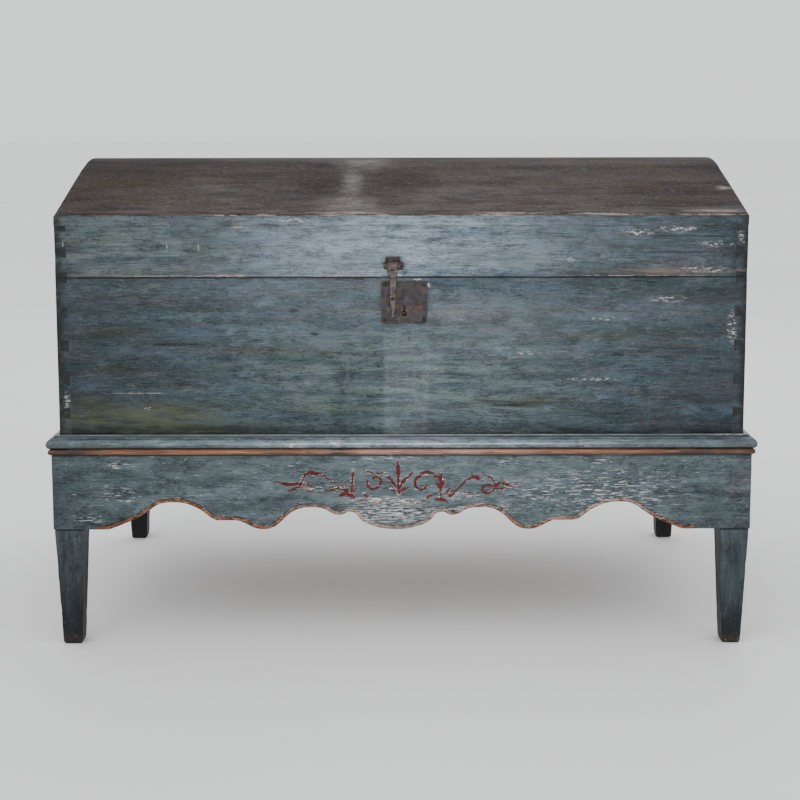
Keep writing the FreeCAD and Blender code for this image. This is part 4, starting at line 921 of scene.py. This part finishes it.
def scalloped_board():
    """Front apron with a dense front face, a rubbed lower edge and the masks of its paint."""
    wear = bpy.context.scene.chest_wear
    ornament = bpy.context.scene.chest_ornament
    outline = lower_outline("apron_front")
    left, right = APRON_LOW.x, APRON_HIGH.x
    left_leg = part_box("leg_front_right")[0].x - 0.008
    front, back, top = APRON_LOW.y, APRON_HIGH.y, APRON_HIGH.z
    scroll_x = [(SCROLL_ROOT[0] + side) / 1000 for side in (-216, 214)]
    coarse = ornament.grid * 2.6
    columns = list(np.arange(left, scroll_x[0], coarse)) + list(np.arange(scroll_x[0], scroll_x[1], ornament.grid))
    columns += list(np.arange(scroll_x[1], right, coarse)) + [right]
    near = [0.0, 0.0004, 0.0012, 0.0026, 0.0045, 0.0065, 0.009, 0.012]
    row_count = 62
    mesh = bmesh.new()
    away_layer = mesh.verts.layers.float.new("edge_distance")
    scroll_layer = mesh.verts.layers.float.new("scroll")
    grid = []
    for x in columns:
        foot = float(np.interp(x, outline[:, 0], outline[:, 1]))
        heights = [foot + step for step in near]
        heights += list(np.linspace(foot + 0.0136, top, row_count))
        grid.append([mesh.verts.new((x, front, height)) for height in heights])
    verts = [vert for column in grid for vert in column]
    x = np.array([vert.co.x for vert in verts])
    z = np.array([vert.co.z for vert in verts])
    away = np.full(len(verts), 1.0)
    border = np.full(len(verts), 1.0)
    for index in range(len(outline) - 1):
        start, end = outline[index], outline[index + 1]
        along = end - start
        length = max(float(along @ along), 1e-12)
        t = np.clip(((x - start[0]) * along[0] + (z - start[1]) * along[1]) / length, 0, 1)
        gap = np.hypot(x - start[0] - t * along[0], z - start[1] - t * along[1])
        away = np.minimum(away, gap)
        if max(abs(start[0]), abs(end[0])) < left_leg:
            border = np.minimum(border, gap)
    radius = wear.arris_radius
    for vert, gap in zip(verts, away):
        ends = min(vert.co.x - left, right - vert.co.x, top + radius - vert.co.z)
        rub = radius * (1.0 + 0.5 * noise.noise(vert.co * 45))
        short = max(0.0, rub - min(gap, ends))
        vert.co.y = front + rub - math.sqrt(max(0.0, rub * rub - short * short))
    scroll = scroll_cover(x, z)
    for vert, gap, cover in zip(verts, border, scroll):
        vert[away_layer] = gap
        vert[scroll_layer] = cover
    for one, other in zip(grid, grid[1:]):
        for low_one, high_one, low_other, high_other in zip(one, one[1:], other, other[1:]):
            mesh.faces.new((low_one, low_other, high_other, high_one))
    rim = [column[0] for column in grid] + grid[-1][1:] + [column[-1] for column in reversed(grid[:-1])]
    rim += list(reversed(grid[0][1:-1]))
    mitre = back - front
    straight = right - 0.032
    rear = []
    for vert in rim:
        x_back = vert.co.x
        if abs(x_back) > straight:
            share = (abs(x_back) - straight) / (right - straight)
            x_back = math.copysign(straight + share * (right - mitre - straight), x_back)
        copy = mesh.verts.new((x_back, back, vert.co.z))
        copy[away_layer] = 0.0 if vert.co.z < top - 0.001 else 0.05
        rear.append(copy)
    for index, vert in enumerate(rim):
        after = (index + 1) % len(rim)
        mesh.faces.new((vert, rear[index], rear[after], rim[after]))
    mesh.faces.new(list(reversed(rear)))
    bmesh.ops.recalc_face_normals(mesh, faces=mesh.faces)
    return mesh


class CHEST_OT_aprons(ChestOperator, bpy.types.Operator):
    """Makes the scalloped front apron with its painted scrolls, and the other three aprons"""
    bl_idname = "chest.aprons"
    bl_label = "Aprons"

    def execute(self, context):
        scrolled = old_teal_paint("teal_milk_paint_scrolled", 0, True)
        long_paint = old_teal_paint("teal_milk_paint", 0)
        side_paint = old_teal_paint("teal_milk_paint_side", 1)
        pine = bpy.data.materials["bare_pine_long"]
        end_pine = bpy.data.materials["bare_pine_end"]
        mesh = scalloped_board()
        for face in mesh.faces:
            face.material_index = 1 if face.normal.y > 0.9 else 0
        place_piece("apron_front_board", mesh, "stand", ["apron_front"], [scrolled, pine], 50.0)
        outer = on_hull(APRON_LOW, Vector((APRON_HIGH.x, -APRON_LOW.y, APRON_HIGH.z)), (0, 1, 2))

        def hidden(side):
            return lambda face: face.normal.dot(INWARD[side]) > 0.7 or face.normal.z > 0.9

        def arched(edge):
            return outer(edge) or (min(vert.co.z for vert in edge.verts) < 0.26
                                   and any(abs(face.normal.x) > 0.9 for face in edge.link_faces)
                                   and abs(edge.verts[0].co.x) > 0.6)
        worn_board("apron_back", "stand", [long_paint, pine], 0, outer, hidden("back"))
        for side in ("left", "right"):
            worn_board("apron_" + side, "stand", [side_paint, end_pine], 1, arched, hidden(side))
        return {"FINISHED"}


class CHEST_OT_legs(ChestOperator, bpy.types.Operator):
    """Makes the four tapered legs, their pegs and the bearers under the chest"""
    bl_idname = "chest.legs"
    bl_label = "Legs and Bearers"

    def execute(self, context):
        paint = old_leg_paint("teal_milk_paint_leg")
        pine = bare_pine("bare_pine_bearer", 1)
        # The legs' inward faces take the darker copy: grime and painted shade.
        grime_and_shade = old_leg_paint("teal_milk_paint_shaded", 0.3)
        for end in ("front", "back"):
            for side in ("left", "right"):
                def shaded(face, inward=INWARD[end] + INWARD[side]):
                    return face.normal.dot(inward) > 0.8

                worn_board("leg_" + end + "_" + side, "stand", [paint, grime_and_shade], 2,
                           lambda edge: edge.verts[0].co.z < APRON_LOW.z + 0.001, shaded)
        for node in ("cross_bearer_left", "cross_bearer_right"):
            worn_board(node, "stand", [pine], 1, lambda edge: False)
        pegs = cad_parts["leg_pegs"]
        pegs.data.materials.clear()
        pegs.data.materials.append(pine)
        return {"FINISHED"}


class CHEST_OT_mouldings(ChestOperator, bpy.types.Operator):
    """Makes the moulding that holds the chest and the half-round band below it"""
    bl_idname = "chest.mouldings"
    bl_label = "Mouldings and Bands"

    def execute(self, context):
        wear = context.scene.chest_wear
        for side, axis in (("front", 0), ("back", 0), ("left", 1), ("right", 1)):
            for kind, maker, slot in (("moulding", moulding_paint, "teal_paint"),
                                      ("band", copper_band_paint, "copper_band")):
                name = kind + "_paint_" + ("long" if axis == 0 else "side")
                material = bpy.data.materials.get(name) or maker(name, axis)
                node = kind + "_" + side
                mesh = cad_copy([node])
                sharp = [edge for edge in sharp_edges(mesh, 0.0019)
                         if abs(edge.verts[0].co[axis] - edge.verts[1].co[axis]) > 0.001]
                round_edges(mesh, sharp, wear.joint_radius, 2)
                slice_along(mesh, axis, wear.slice_length)
                place_piece(node + "_run", mesh, "stand", [node], [material], 40.0)
        return {"FINISHED"}


class CHEST_OT_lock(ChestOperator, bpy.types.Operator):
    """Makes the lock plate, its case and works"""
    bl_idname = "chest.lock"
    bl_label = "Lock"

    def execute(self, context):
        low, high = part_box("lock_plate")
        key_x = (low.x + high.x) / 2 * 1000
        rust = [((key_x, low.y * 1000, 590), (9, 8, 13)), ((key_x + 26, low.y * 1000, 596), (10, 8, 5)),
                ((key_x - 14, low.y * 1000, 597), (8, 8, 6))]
        dark = wrought_iron("wrought_iron_plate", rusted=rust)
        mesh = cad_copy(["lock_plate"])
        slice_along(mesh, 0, 0.003)
        slice_along(mesh, 2, 0.003)
        for vert in mesh.verts:
            across = min(vert.co.x - low.x, high.x - vert.co.x)
            up = min(vert.co.z - low.z, high.z - vert.co.z)
            wave = abs(noise.noise(vert.co * 60)) * 0.0022
            corner = max(0.0, 0.0035 - math.hypot(across, up)) * 0.3
            if across < 0.0008:
                vert.co.x -= math.copysign(wave + corner, vert.co.x - (low.x + high.x) / 2)
            if up < 0.0008:
                vert.co.z -= math.copysign(wave * 0.7 + corner, vert.co.z - (low.z + high.z) / 2)
            if vert.co.y < low.y + 0.0002:
                vert.co.y -= 0.0005 * (noise.noise(vert.co * 90) - 0.3)
        place_piece("lock_plate_iron", mesh, "chest", ["lock_plate"], [dark])
        for node in ("lock_case", "lock_key_pin", "lock_spring", "lock_bolt"):
            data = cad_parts[node].data
            data.materials.clear()
            data.materials.append(dark)
        return {"FINISHED"}


def forged_bar(mesh, start, stations, across=(1, 0, 0), square=0.55, ring=20):
    """Adds a closed hammered bar. Its stations are a centre, counted from the start in
    millimetres, and half a width and half a thickness square to the run."""
    across = Vector(across)
    loops = []
    for index, (centre, half_width, half_thick) in enumerate(stations):
        before = Vector(stations[max(index - 1, 0)][0])
        after = Vector(stations[min(index + 1, len(stations) - 1)][0])
        out = (after - before).normalized().cross(across).normalized()
        loop = []
        for turn in range(ring):
            c, s = math.cos(2 * math.pi * turn / ring), math.sin(2 * math.pi * turn / ring)
            wide = math.copysign(abs(c) ** square, c) * half_width
            thick = math.copysign(abs(s) ** square, s) * half_thick
            place = start + (Vector(centre) + across * wide + out * thick) / 1000
            place += (across * c + out * s) * 0.0005 * noise.noise(place * 210)
            loop.append(mesh.verts.new(place))
        loops.append(loop)
    faces = [mesh.faces.new(list(reversed(loops[0]))), mesh.faces.new(loops[-1])]
    for one, other in zip(loops, loops[1:]):
        for turn in range(ring):
            after = (turn + 1) % ring
            faces.append(mesh.faces.new((one[turn], one[after], other[after], other[turn])))
    bmesh.ops.recalc_face_normals(mesh, faces=faces)


def roll_stations(low, high, radii, rise=0.0):
    """Stations of a round bar along X, its radius given at even places."""
    return [((float(x), 0.0, rise), radius, radius) for x, radius in zip(np.linspace(low, high, len(radii)), radii)]


def riveted_pin(name, node, body, radius, iron):
    """A pin with both ends hammered over."""
    low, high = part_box(node)
    half = (high.x - low.x) * 500
    mesh = bmesh.new()
    head = [((-half - 0.5, 0, 0), radius * 0.5), ((-half - 0.3, 0, 0), radius * 0.95), ((-half, 0, 0), radius * 1.2),
            ((-half + 0.6, 0, 0), radius * 1.2), ((-half + 0.7, 0, 0), radius)]
    stations = head + [((-place[0], 0, 0), wide) for place, wide in reversed(head)]
    forged_bar(mesh, (low + high) / 2, [(place, wide, wide) for place, wide in stations], (0, 1, 0), 1.0)
    place_piece(name, mesh, body, [node], [iron])


class CHEST_OT_hasp(ChestOperator, bpy.types.Operator):
    """Makes the hasp with its loop, and the bracket that carries it on the lid"""
    bl_idname = "chest.hasp"
    bl_label = "Hasp"

    def execute(self, context):
        pin_low, pin_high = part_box("hasp_pin")
        pivot = (pin_low + pin_high) / 2
        place = pivot * 1000
        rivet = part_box("hasp_loop")[1].z * 1000 - 2.7
        # Near-black at the loop's rivet and under the barrel: grime and painted shadow.
        iron = wrought_iron("wrought_iron_hasp", "#4d433f", grimed_and_shaded=[((place.x, place.y, rivet), (4.6, 6, 3.4)),
                                                              ((place.x, place.y - 5, place.z - 6.5), (9, 6, 1.6))])
        # Painted shade in the pin's bore and over the bracket's plate behind the barrel.
        dark = wrought_iron("wrought_iron_bracket", "#382f2b", grimed_and_shaded=[
            ((place.x + 14.3, place.y - 6, place.z + 0.2), (2.6, 5, 2.5)), ((place.x, FRONT * 1000, place.z), (18, 3, 30))])
        mesh = bmesh.new()
        forged_bar(mesh, pivot, (((0, -2.4, -2), 7.2, 1.9), ((0, -2.6, -7), 7.6, 2.6), ((0.1, -2.7, -11.5), 8.0, 3.1),
                                 ((0.1, -2.3, -16), 7.4, 2.7), ((0.2, -1.4, -20), 6.4, 2.1), ((0.3, -0.6, -24), 5.4, 1.6),
                                 ((0.5, -0.1, -29), 5.0, 1.4), ((0.4, 0, -34), 5.3, 1.3), ((0.2, 0, -40), 5.1, 1.3),
                                 ((-0.1, 0.1, -47), 4.8, 1.3), ((-0.3, -0.1, -54), 5.1, 1.25), ((0, -0.75, -61), 4.7, 1.2),
                                 ((0.3, -1.5, -66), 4.0, 1.2), ((0.5, -2.4, -71), 3.3, 1.2), ((0.3, -3.4, -75.5), 2.8, 1.2),
                                 ((-0.1, -4.5, -79.5), 2.5, 1.25), ((-0.3, -5.6, -83), 2.4, 1.25),
                                 ((-0.2, -6.2, -85.2), 2.2, 1.2), ((0, -7.2, -85.8), 2.0, 1.1), ((0, -7.9, -84.6), 1.7, 0.8)))
        forged_bar(mesh, pivot, roll_stations(-8.6, 8.6, (5.8, 6.6, 7.0, 7.2, 7.3, 7.1, 7.0, 6.5, 5.8), 0.5),
                   (0, 1, 0), 1.0, 30)
        place_piece("hasp_iron", mesh, "hasp", ["hasp"], [iron], 50.0)
        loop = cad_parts["hasp_loop"].data
        loop.materials.clear()
        loop.materials.append(iron)

        low, high = (edge * 1000 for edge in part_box("hasp_bracket"))
        wall = high.y - 1.0 - place.y
        half = (high.x - low.x) / 2
        foot, top = low.z - place.z, high.z - place.z
        mesh = bmesh.new()
        forged_bar(mesh, pivot, [((0, wall, foot + (top - foot) * share), half * (1 - 0.05 * share * share), 1.0)
                                 for share in (0, 0.25, 0.5, 0.75, 0.9, 1)], square=0.35)
        for side, reach, radii in ((-1, 2.2, (4.2, 5.4, 6.0, 6.2, 6.1)), (1, 5.2, (6.1, 6.5, 6.9, 6.8, 6.3, 5.4, 3.9))):
            middle = side * (half - 2.05)
            forged_bar(mesh, pivot, [((middle, wall - 0.4, 0.2), 2.0, 5.6), ((middle, wall * 0.5, 0), 1.9, 5.1),
                                     ((middle, 1.0, 0), 1.9, 5.0)], square=0.5)
            ends = sorted((side * (half + reach), side * (half - 3.95)))
            forged_bar(mesh, pivot, roll_stations(*ends, radii), (0, 1, 0), 1.0, 36)
        hole = pivot + Vector((half + 1.2, -5.6, 0.2)) / 1000
        for vert in mesh.verts:
            away = Vector(((vert.co.x - hole.x) / 2.2, (vert.co.z - hole.z) / 2.6)).length * 1000
            if vert.co.y < pivot.y - 0.002 and away < 1:
                vert.co.y += 0.0030 * (1 - away * away)
        place_piece("hasp_bracket_iron", mesh, "lid", ["hasp_bracket"], [dark], 50.0)
        riveted_pin("hasp_pin_iron", "hasp_pin", "lid", 2.4, dark)
        return {"FINISHED"}


def hammered_strap(node, body, iron):
    """A strap with eased edges, an uneven outline and a face marked by the hammer."""
    mesh = cad_copy([node])
    round_edges(mesh, sharp_edges(mesh, 0.006), 0.0006, 1)
    slice_along(mesh, 2, 0.005)
    slice_along(mesh, 0, 0.005)
    mesh.normal_update()
    moves = []
    for vert in mesh.verts:
        move = Vector((noise.noise(vert.co * 22), 0, noise.noise(vert.co * 22 + Vector((5, 5, 5))))) * 0.0007
        if vert.normal.y > 0.6:
            move.y = -0.0005 * abs(noise.noise(vert.co * 85))
        moves.append((vert, move))
    for vert, move in moves:
        vert.co += move
    place_piece(node + "_iron", mesh, body, [node], [iron])


class CHEST_OT_hinges(ChestOperator, bpy.types.Operator):
    """Makes the strap hinges on the back"""
    bl_idname = "chest.hinges"
    bl_label = "Strap Hinges"

    def execute(self, context):
        iron = wrought_iron("wrought_iron_hinge")
        for side in ("left", "right"):
            hammered_strap("hinge_chest_strap_" + side, "chest", iron)
            hammered_strap("hinge_lid_strap_" + side, "lid", iron)
            riveted_pin("hinge_pin_" + side + "_iron", "hinge_pin_" + side, "chest", 2.4, iron)
        return {"FINISHED"}


def nail_tree():
    """Geometry nodes that set a hammered nail on each point of a mesh."""
    tree = bpy.data.node_groups.new("rose_head_nails", "GeometryNodeTree")
    for name, kind, direction in (("Places", "NodeSocketGeometry", "INPUT"), ("Head Diameter", "NodeSocketFloat", "INPUT"),
                                  ("Head Height", "NodeSocketFloat", "INPUT"), ("Shaft Diameter", "NodeSocketFloat", "INPUT"),
                                  ("Shaft Length", "NodeSocketFloat", "INPUT"), ("Facets", "NodeSocketInt", "INPUT"),
                                  ("Facing", "NodeSocketVector", "INPUT"), ("Seed", "NodeSocketInt", "INPUT"),
                                  ("Iron", "NodeSocketMaterial", "INPUT"), ("Nails", "NodeSocketGeometry", "OUTPUT")):
        tree.interface.new_socket(name, in_out=direction, socket_type=kind)
    given = add(tree, "NodeGroupInput").outputs
    radius = add(tree, "ShaderNodeMath", {0: given["Head Diameter"], 1: 0.5}, operation="MULTIPLY").outputs[0]
    crown = add(tree, "ShaderNodeMath", {0: given["Head Diameter"], 1: 0.14}, operation="MULTIPLY").outputs[0]
    head = add(tree, "GeometryNodeMeshCone", {"Vertices": given["Facets"], "Side Segments": 3, "Radius Top": crown,
                                              "Radius Bottom": radius, "Depth": given["Head Height"]},
               fill_type="NGON").outputs["Mesh"]
    shaft_radius = add(tree, "ShaderNodeMath", {0: given["Shaft Diameter"], 1: 0.5}, operation="MULTIPLY").outputs[0]
    shaft = add(tree, "GeometryNodeMeshCylinder", {"Vertices": 10, "Radius": shaft_radius,
                                                   "Depth": given["Shaft Length"]}).outputs["Mesh"]
    drop = add(tree, "ShaderNodeMath", {0: given["Shaft Length"], 1: -0.5}, operation="MULTIPLY").outputs[0]
    below = add(tree, "ShaderNodeCombineXYZ", {"Z": drop}).outputs[0]
    shaft = add(tree, "GeometryNodeTransform", {"Geometry": shaft, "Translation": below}).outputs[0]
    nail = add(tree, "GeometryNodeJoinGeometry")
    tree.links.new(head, nail.inputs[0])
    tree.links.new(shaft, nail.inputs[0])
    turn = add(tree, "FunctionNodeRandomValue", {"Max": 6.28, "Seed": given["Seed"]}, data_type="FLOAT").outputs["Value"]
    spin = add(tree, "ShaderNodeCombineXYZ", {"Z": turn}).outputs[0]
    faced = add(tree, "FunctionNodeEulerToRotation", {0: given["Facing"]}).outputs[0]
    spun = add(tree, "FunctionNodeEulerToRotation", {0: spin}).outputs[0]
    facing = add(tree, "FunctionNodeRotateRotation", {0: faced, 1: spun}, rotation_space="LOCAL").outputs[0]
    set_on = add(tree, "GeometryNodeInstanceOnPoints", {"Points": given["Places"], "Instance": nail.outputs[0],
                                                        "Rotation": facing}).outputs[0]
    plain = add(tree, "GeometryNodeRealizeInstances", {"Geometry": set_on}).outputs[0]
    done = add(tree, "GeometryNodeSetMaterial", {"Geometry": plain, "Material": given["Iron"]}).outputs[0]
    out = add(tree, "NodeGroupOutput")
    tree.links.new(done, out.inputs["Nails"])
    return tree


def nail_places(node):
    """Middle of each nail's head seat, read from the solids: a nail is one loose part."""
    mesh = bmesh.new()
    mesh.from_mesh(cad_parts[node].data)
    bmesh.ops.remove_doubles(mesh, verts=mesh.verts, dist=0.00002)
    seen = set()
    places = []
    for vert in mesh.verts:
        if vert in seen:
            continue
        group, queue = [], [vert]
        seen.add(vert)
        while queue:
            one = queue.pop()
            group.append(one.co.copy())
            for edge in one.link_edges:
                other = edge.other_vert(one)
                if other not in seen:
                    seen.add(other)
                    queue.append(other)
        middle = sum(group, Vector()) / len(group)
        places.append((middle, min(p.y for p in group), max(p.y for p in group)))
    mesh.free()
    return places


def add_nails(name, node, body, facing_back, seed, iron):
    """Nails of one group, each where its solid is, as one plain mesh."""
    sizes = bpy.context.scene.chest_nails
    tree = bpy.data.node_groups.get("rose_head_nails") or nail_tree()
    iron = bpy.data.materials[iron]
    cad_head = 0.0016
    shaft_length = 0.0138
    points = bpy.data.meshes.new(name + "_places")
    seats = []
    for middle, low, high in nail_places(node):
        seat = high - cad_head if facing_back else low + cad_head
        seats.append((middle.x, seat, middle.z))
    points.from_pydata(seats, [], [])
    carrier = bpy.data.objects.new(name + "_places", points)
    bpy.context.scene.collection.objects.link(carrier)
    modifier = carrier.modifiers.new("nails", "NODES")
    modifier.node_group = tree
    values = {"Head Diameter": sizes.head_diameter, "Head Height": sizes.head_height, "Shaft Diameter": 0.0028,
              "Shaft Length": shaft_length, "Facets": sizes.facets, "Seed": seed, "Iron": iron,
              "Facing": (-math.pi / 2, 0.0, 0.0) if facing_back else (math.pi / 2, 0.0, 0.0)}
    for item in tree.interface.items_tree:
        if item.in_out == "INPUT" and item.name in values:
            modifier[item.identifier] = values[item.name]
    graph = bpy.context.evaluated_depsgraph_get()
    mesh = bpy.data.meshes.new_from_object(carrier.evaluated_get(graph))
    carrier.modifiers.remove(modifier)
    bpy.data.objects.remove(carrier)
    work = bmesh.new()
    work.from_mesh(mesh)
    for vert in work.verts:
        vert.co += Vector((1, 1, 1)) * 0.0002 * noise.noise(vert.co * 700)
    work.to_mesh(mesh)
    work.free()
    place_piece(name, mesh, body, [node], [], 20.0)


class CHEST_OT_nails(ChestOperator, bpy.types.Operator):
    """Sets the rose-headed nails of the lock plate, the bracket and the hinges"""
    bl_idname = "chest.nails"
    bl_label = "Nails"

    def execute(self, context):
        add_nails("plate_nails", "lock_plate_nails", "chest", False, 1, "wrought_iron_plate")
        add_nails("bracket_nails", "hasp_bracket_nails", "lid", False, 2, "wrought_iron_bracket")
        add_nails("chest_strap_nails", "hinge_chest_nails", "chest", True, 3, "wrought_iron_hinge")
        add_nails("lid_strap_nails", "hinge_lid_nails", "lid", True, 4, "wrought_iron_hinge")
        return {"FINISHED"}


def soft_light(name, place, target, size, power, colour, spread=math.pi):
    lamp = bpy.data.lights.new(name, "AREA")
    lamp.shape = "RECTANGLE"
    lamp.size, lamp.size_y = size
    lamp.energy = power
    lamp.spread = spread
    lamp.color = colour
    light = bpy.data.objects.new(name, lamp)
    light.location = place
    light.rotation_euler = (Vector(target) - Vector(place)).to_track_quat("-Z", "Y").to_euler()
    light.visible_camera = False
    bpy.context.scene.collection.objects.link(light)


class CHEST_OT_studio(ChestOperator, bpy.types.Operator):
    """Makes the pale floor, the soft lights and the camera"""
    bl_idname = "chest.studio"
    bl_label = "Studio"

    def execute(self, context):
        scene = context.scene
        studio = scene.chest_studio
        world = bpy.data.worlds.new("studio_room")
        world.use_nodes = True
        background = world.node_tree.nodes["Background"]
        background.inputs[0].default_value = linear("#fbfcff")
        background.inputs[1].default_value = studio.sky
        scene.world = world

        f = Finish("matt_floor_paint", 0)
        colour = f.coat(studio.floor, linear("#f6f6f5"), f.grain(900, 900, 2.0), 0.4, 0.6, 0.5)
        material = f.finish(colour, 0.9, specular=0.1)
        mesh = bpy.data.meshes.new("studio_floor")
        reach = 60.0
        mesh.from_pydata([(-reach, -reach, 0), (reach, -reach, 0), (reach, reach, 0), (-reach, reach, 0)],
                         [], [(0, 1, 2, 3)])
        mesh.materials.append(material)
        floor = bpy.data.objects.new("studio_floor", mesh)
        scene.collection.objects.link(floor)

        soft_light("key_light", (-0.9, -2.2, 3.0), (0, -0.1, 0.4), (2.4, 1.6), studio.key, (1.0, 0.99, 0.97))
        soft_light("front_light", (0.09, -2.4, 0.55), (0.045, -0.3, 0.64), (0.7, 0.5), studio.front, (0.97, 0.99, 1.0),
                   math.radians(50))
        soft_light("back_light", (0.6, 2.4, 2.6), (0, 0.1, 0.5), (2.4, 1.6), studio.key * 0.9, (1.0, 1.0, 1.0))

        lens = bpy.data.cameras.new("camera")
        lens.sensor_width = 36.0
        lens.lens = 58.5
        lens.shift_y = -0.175
        lens.dof.use_dof = False
        camera = bpy.data.objects.new("camera", lens)
        camera.location = (-0.0017, -2.5073, 0.9095)
        camera.rotation_euler = (math.pi / 2 - 0.1052, 0.0018, 0.0)
        scene.collection.objects.link(camera)
        scene.camera = camera
        return {"FINISHED"}


STEPS = (CHEST_OT_box, CHEST_OT_lid, CHEST_OT_aprons, CHEST_OT_legs, CHEST_OT_mouldings, CHEST_OT_lock,
         CHEST_OT_hasp, CHEST_OT_hinges, CHEST_OT_nails, CHEST_OT_studio)


class CHEST_PT_panel(bpy.types.Panel):
    """Lists the steps that dress the chest"""
    bl_idname = "CHEST_PT_panel"
    bl_label = "Painted Chest"
    bl_space_type = "VIEW_3D"
    bl_region_type = "UI"
    bl_category = "Chest"

    def draw(self, context):
        for name in PROPERTY_GROUPS:
            group = getattr(context.scene, name)
            box = self.layout.box()
            for key in group.bl_rna.properties.keys():
                if key not in ("rna_type", "name"):
                    box.prop(group, key)
        for step in STEPS:
            self.layout.operator(step.bl_idname)


CLASSES = tuple(PROPERTY_GROUPS.values()) + STEPS + (CHEST_PT_panel,)


def register():
    for item in CLASSES:
        bpy.utils.register_class(item)
    for name, group in PROPERTY_GROUPS.items():
        setattr(bpy.types.Scene, name, PointerProperty(type=group))


def unregister():
    for name in PROPERTY_GROUPS:
        delattr(bpy.types.Scene, name)
    for item in reversed(CLASSES):
        bpy.utils.unregister_class(item)


def main():
    register()
    for step in STEPS:
        group, name = step.bl_idname.split(".")
        getattr(getattr(bpy.ops, group), name)()


if __name__ == "__main__":
    main()
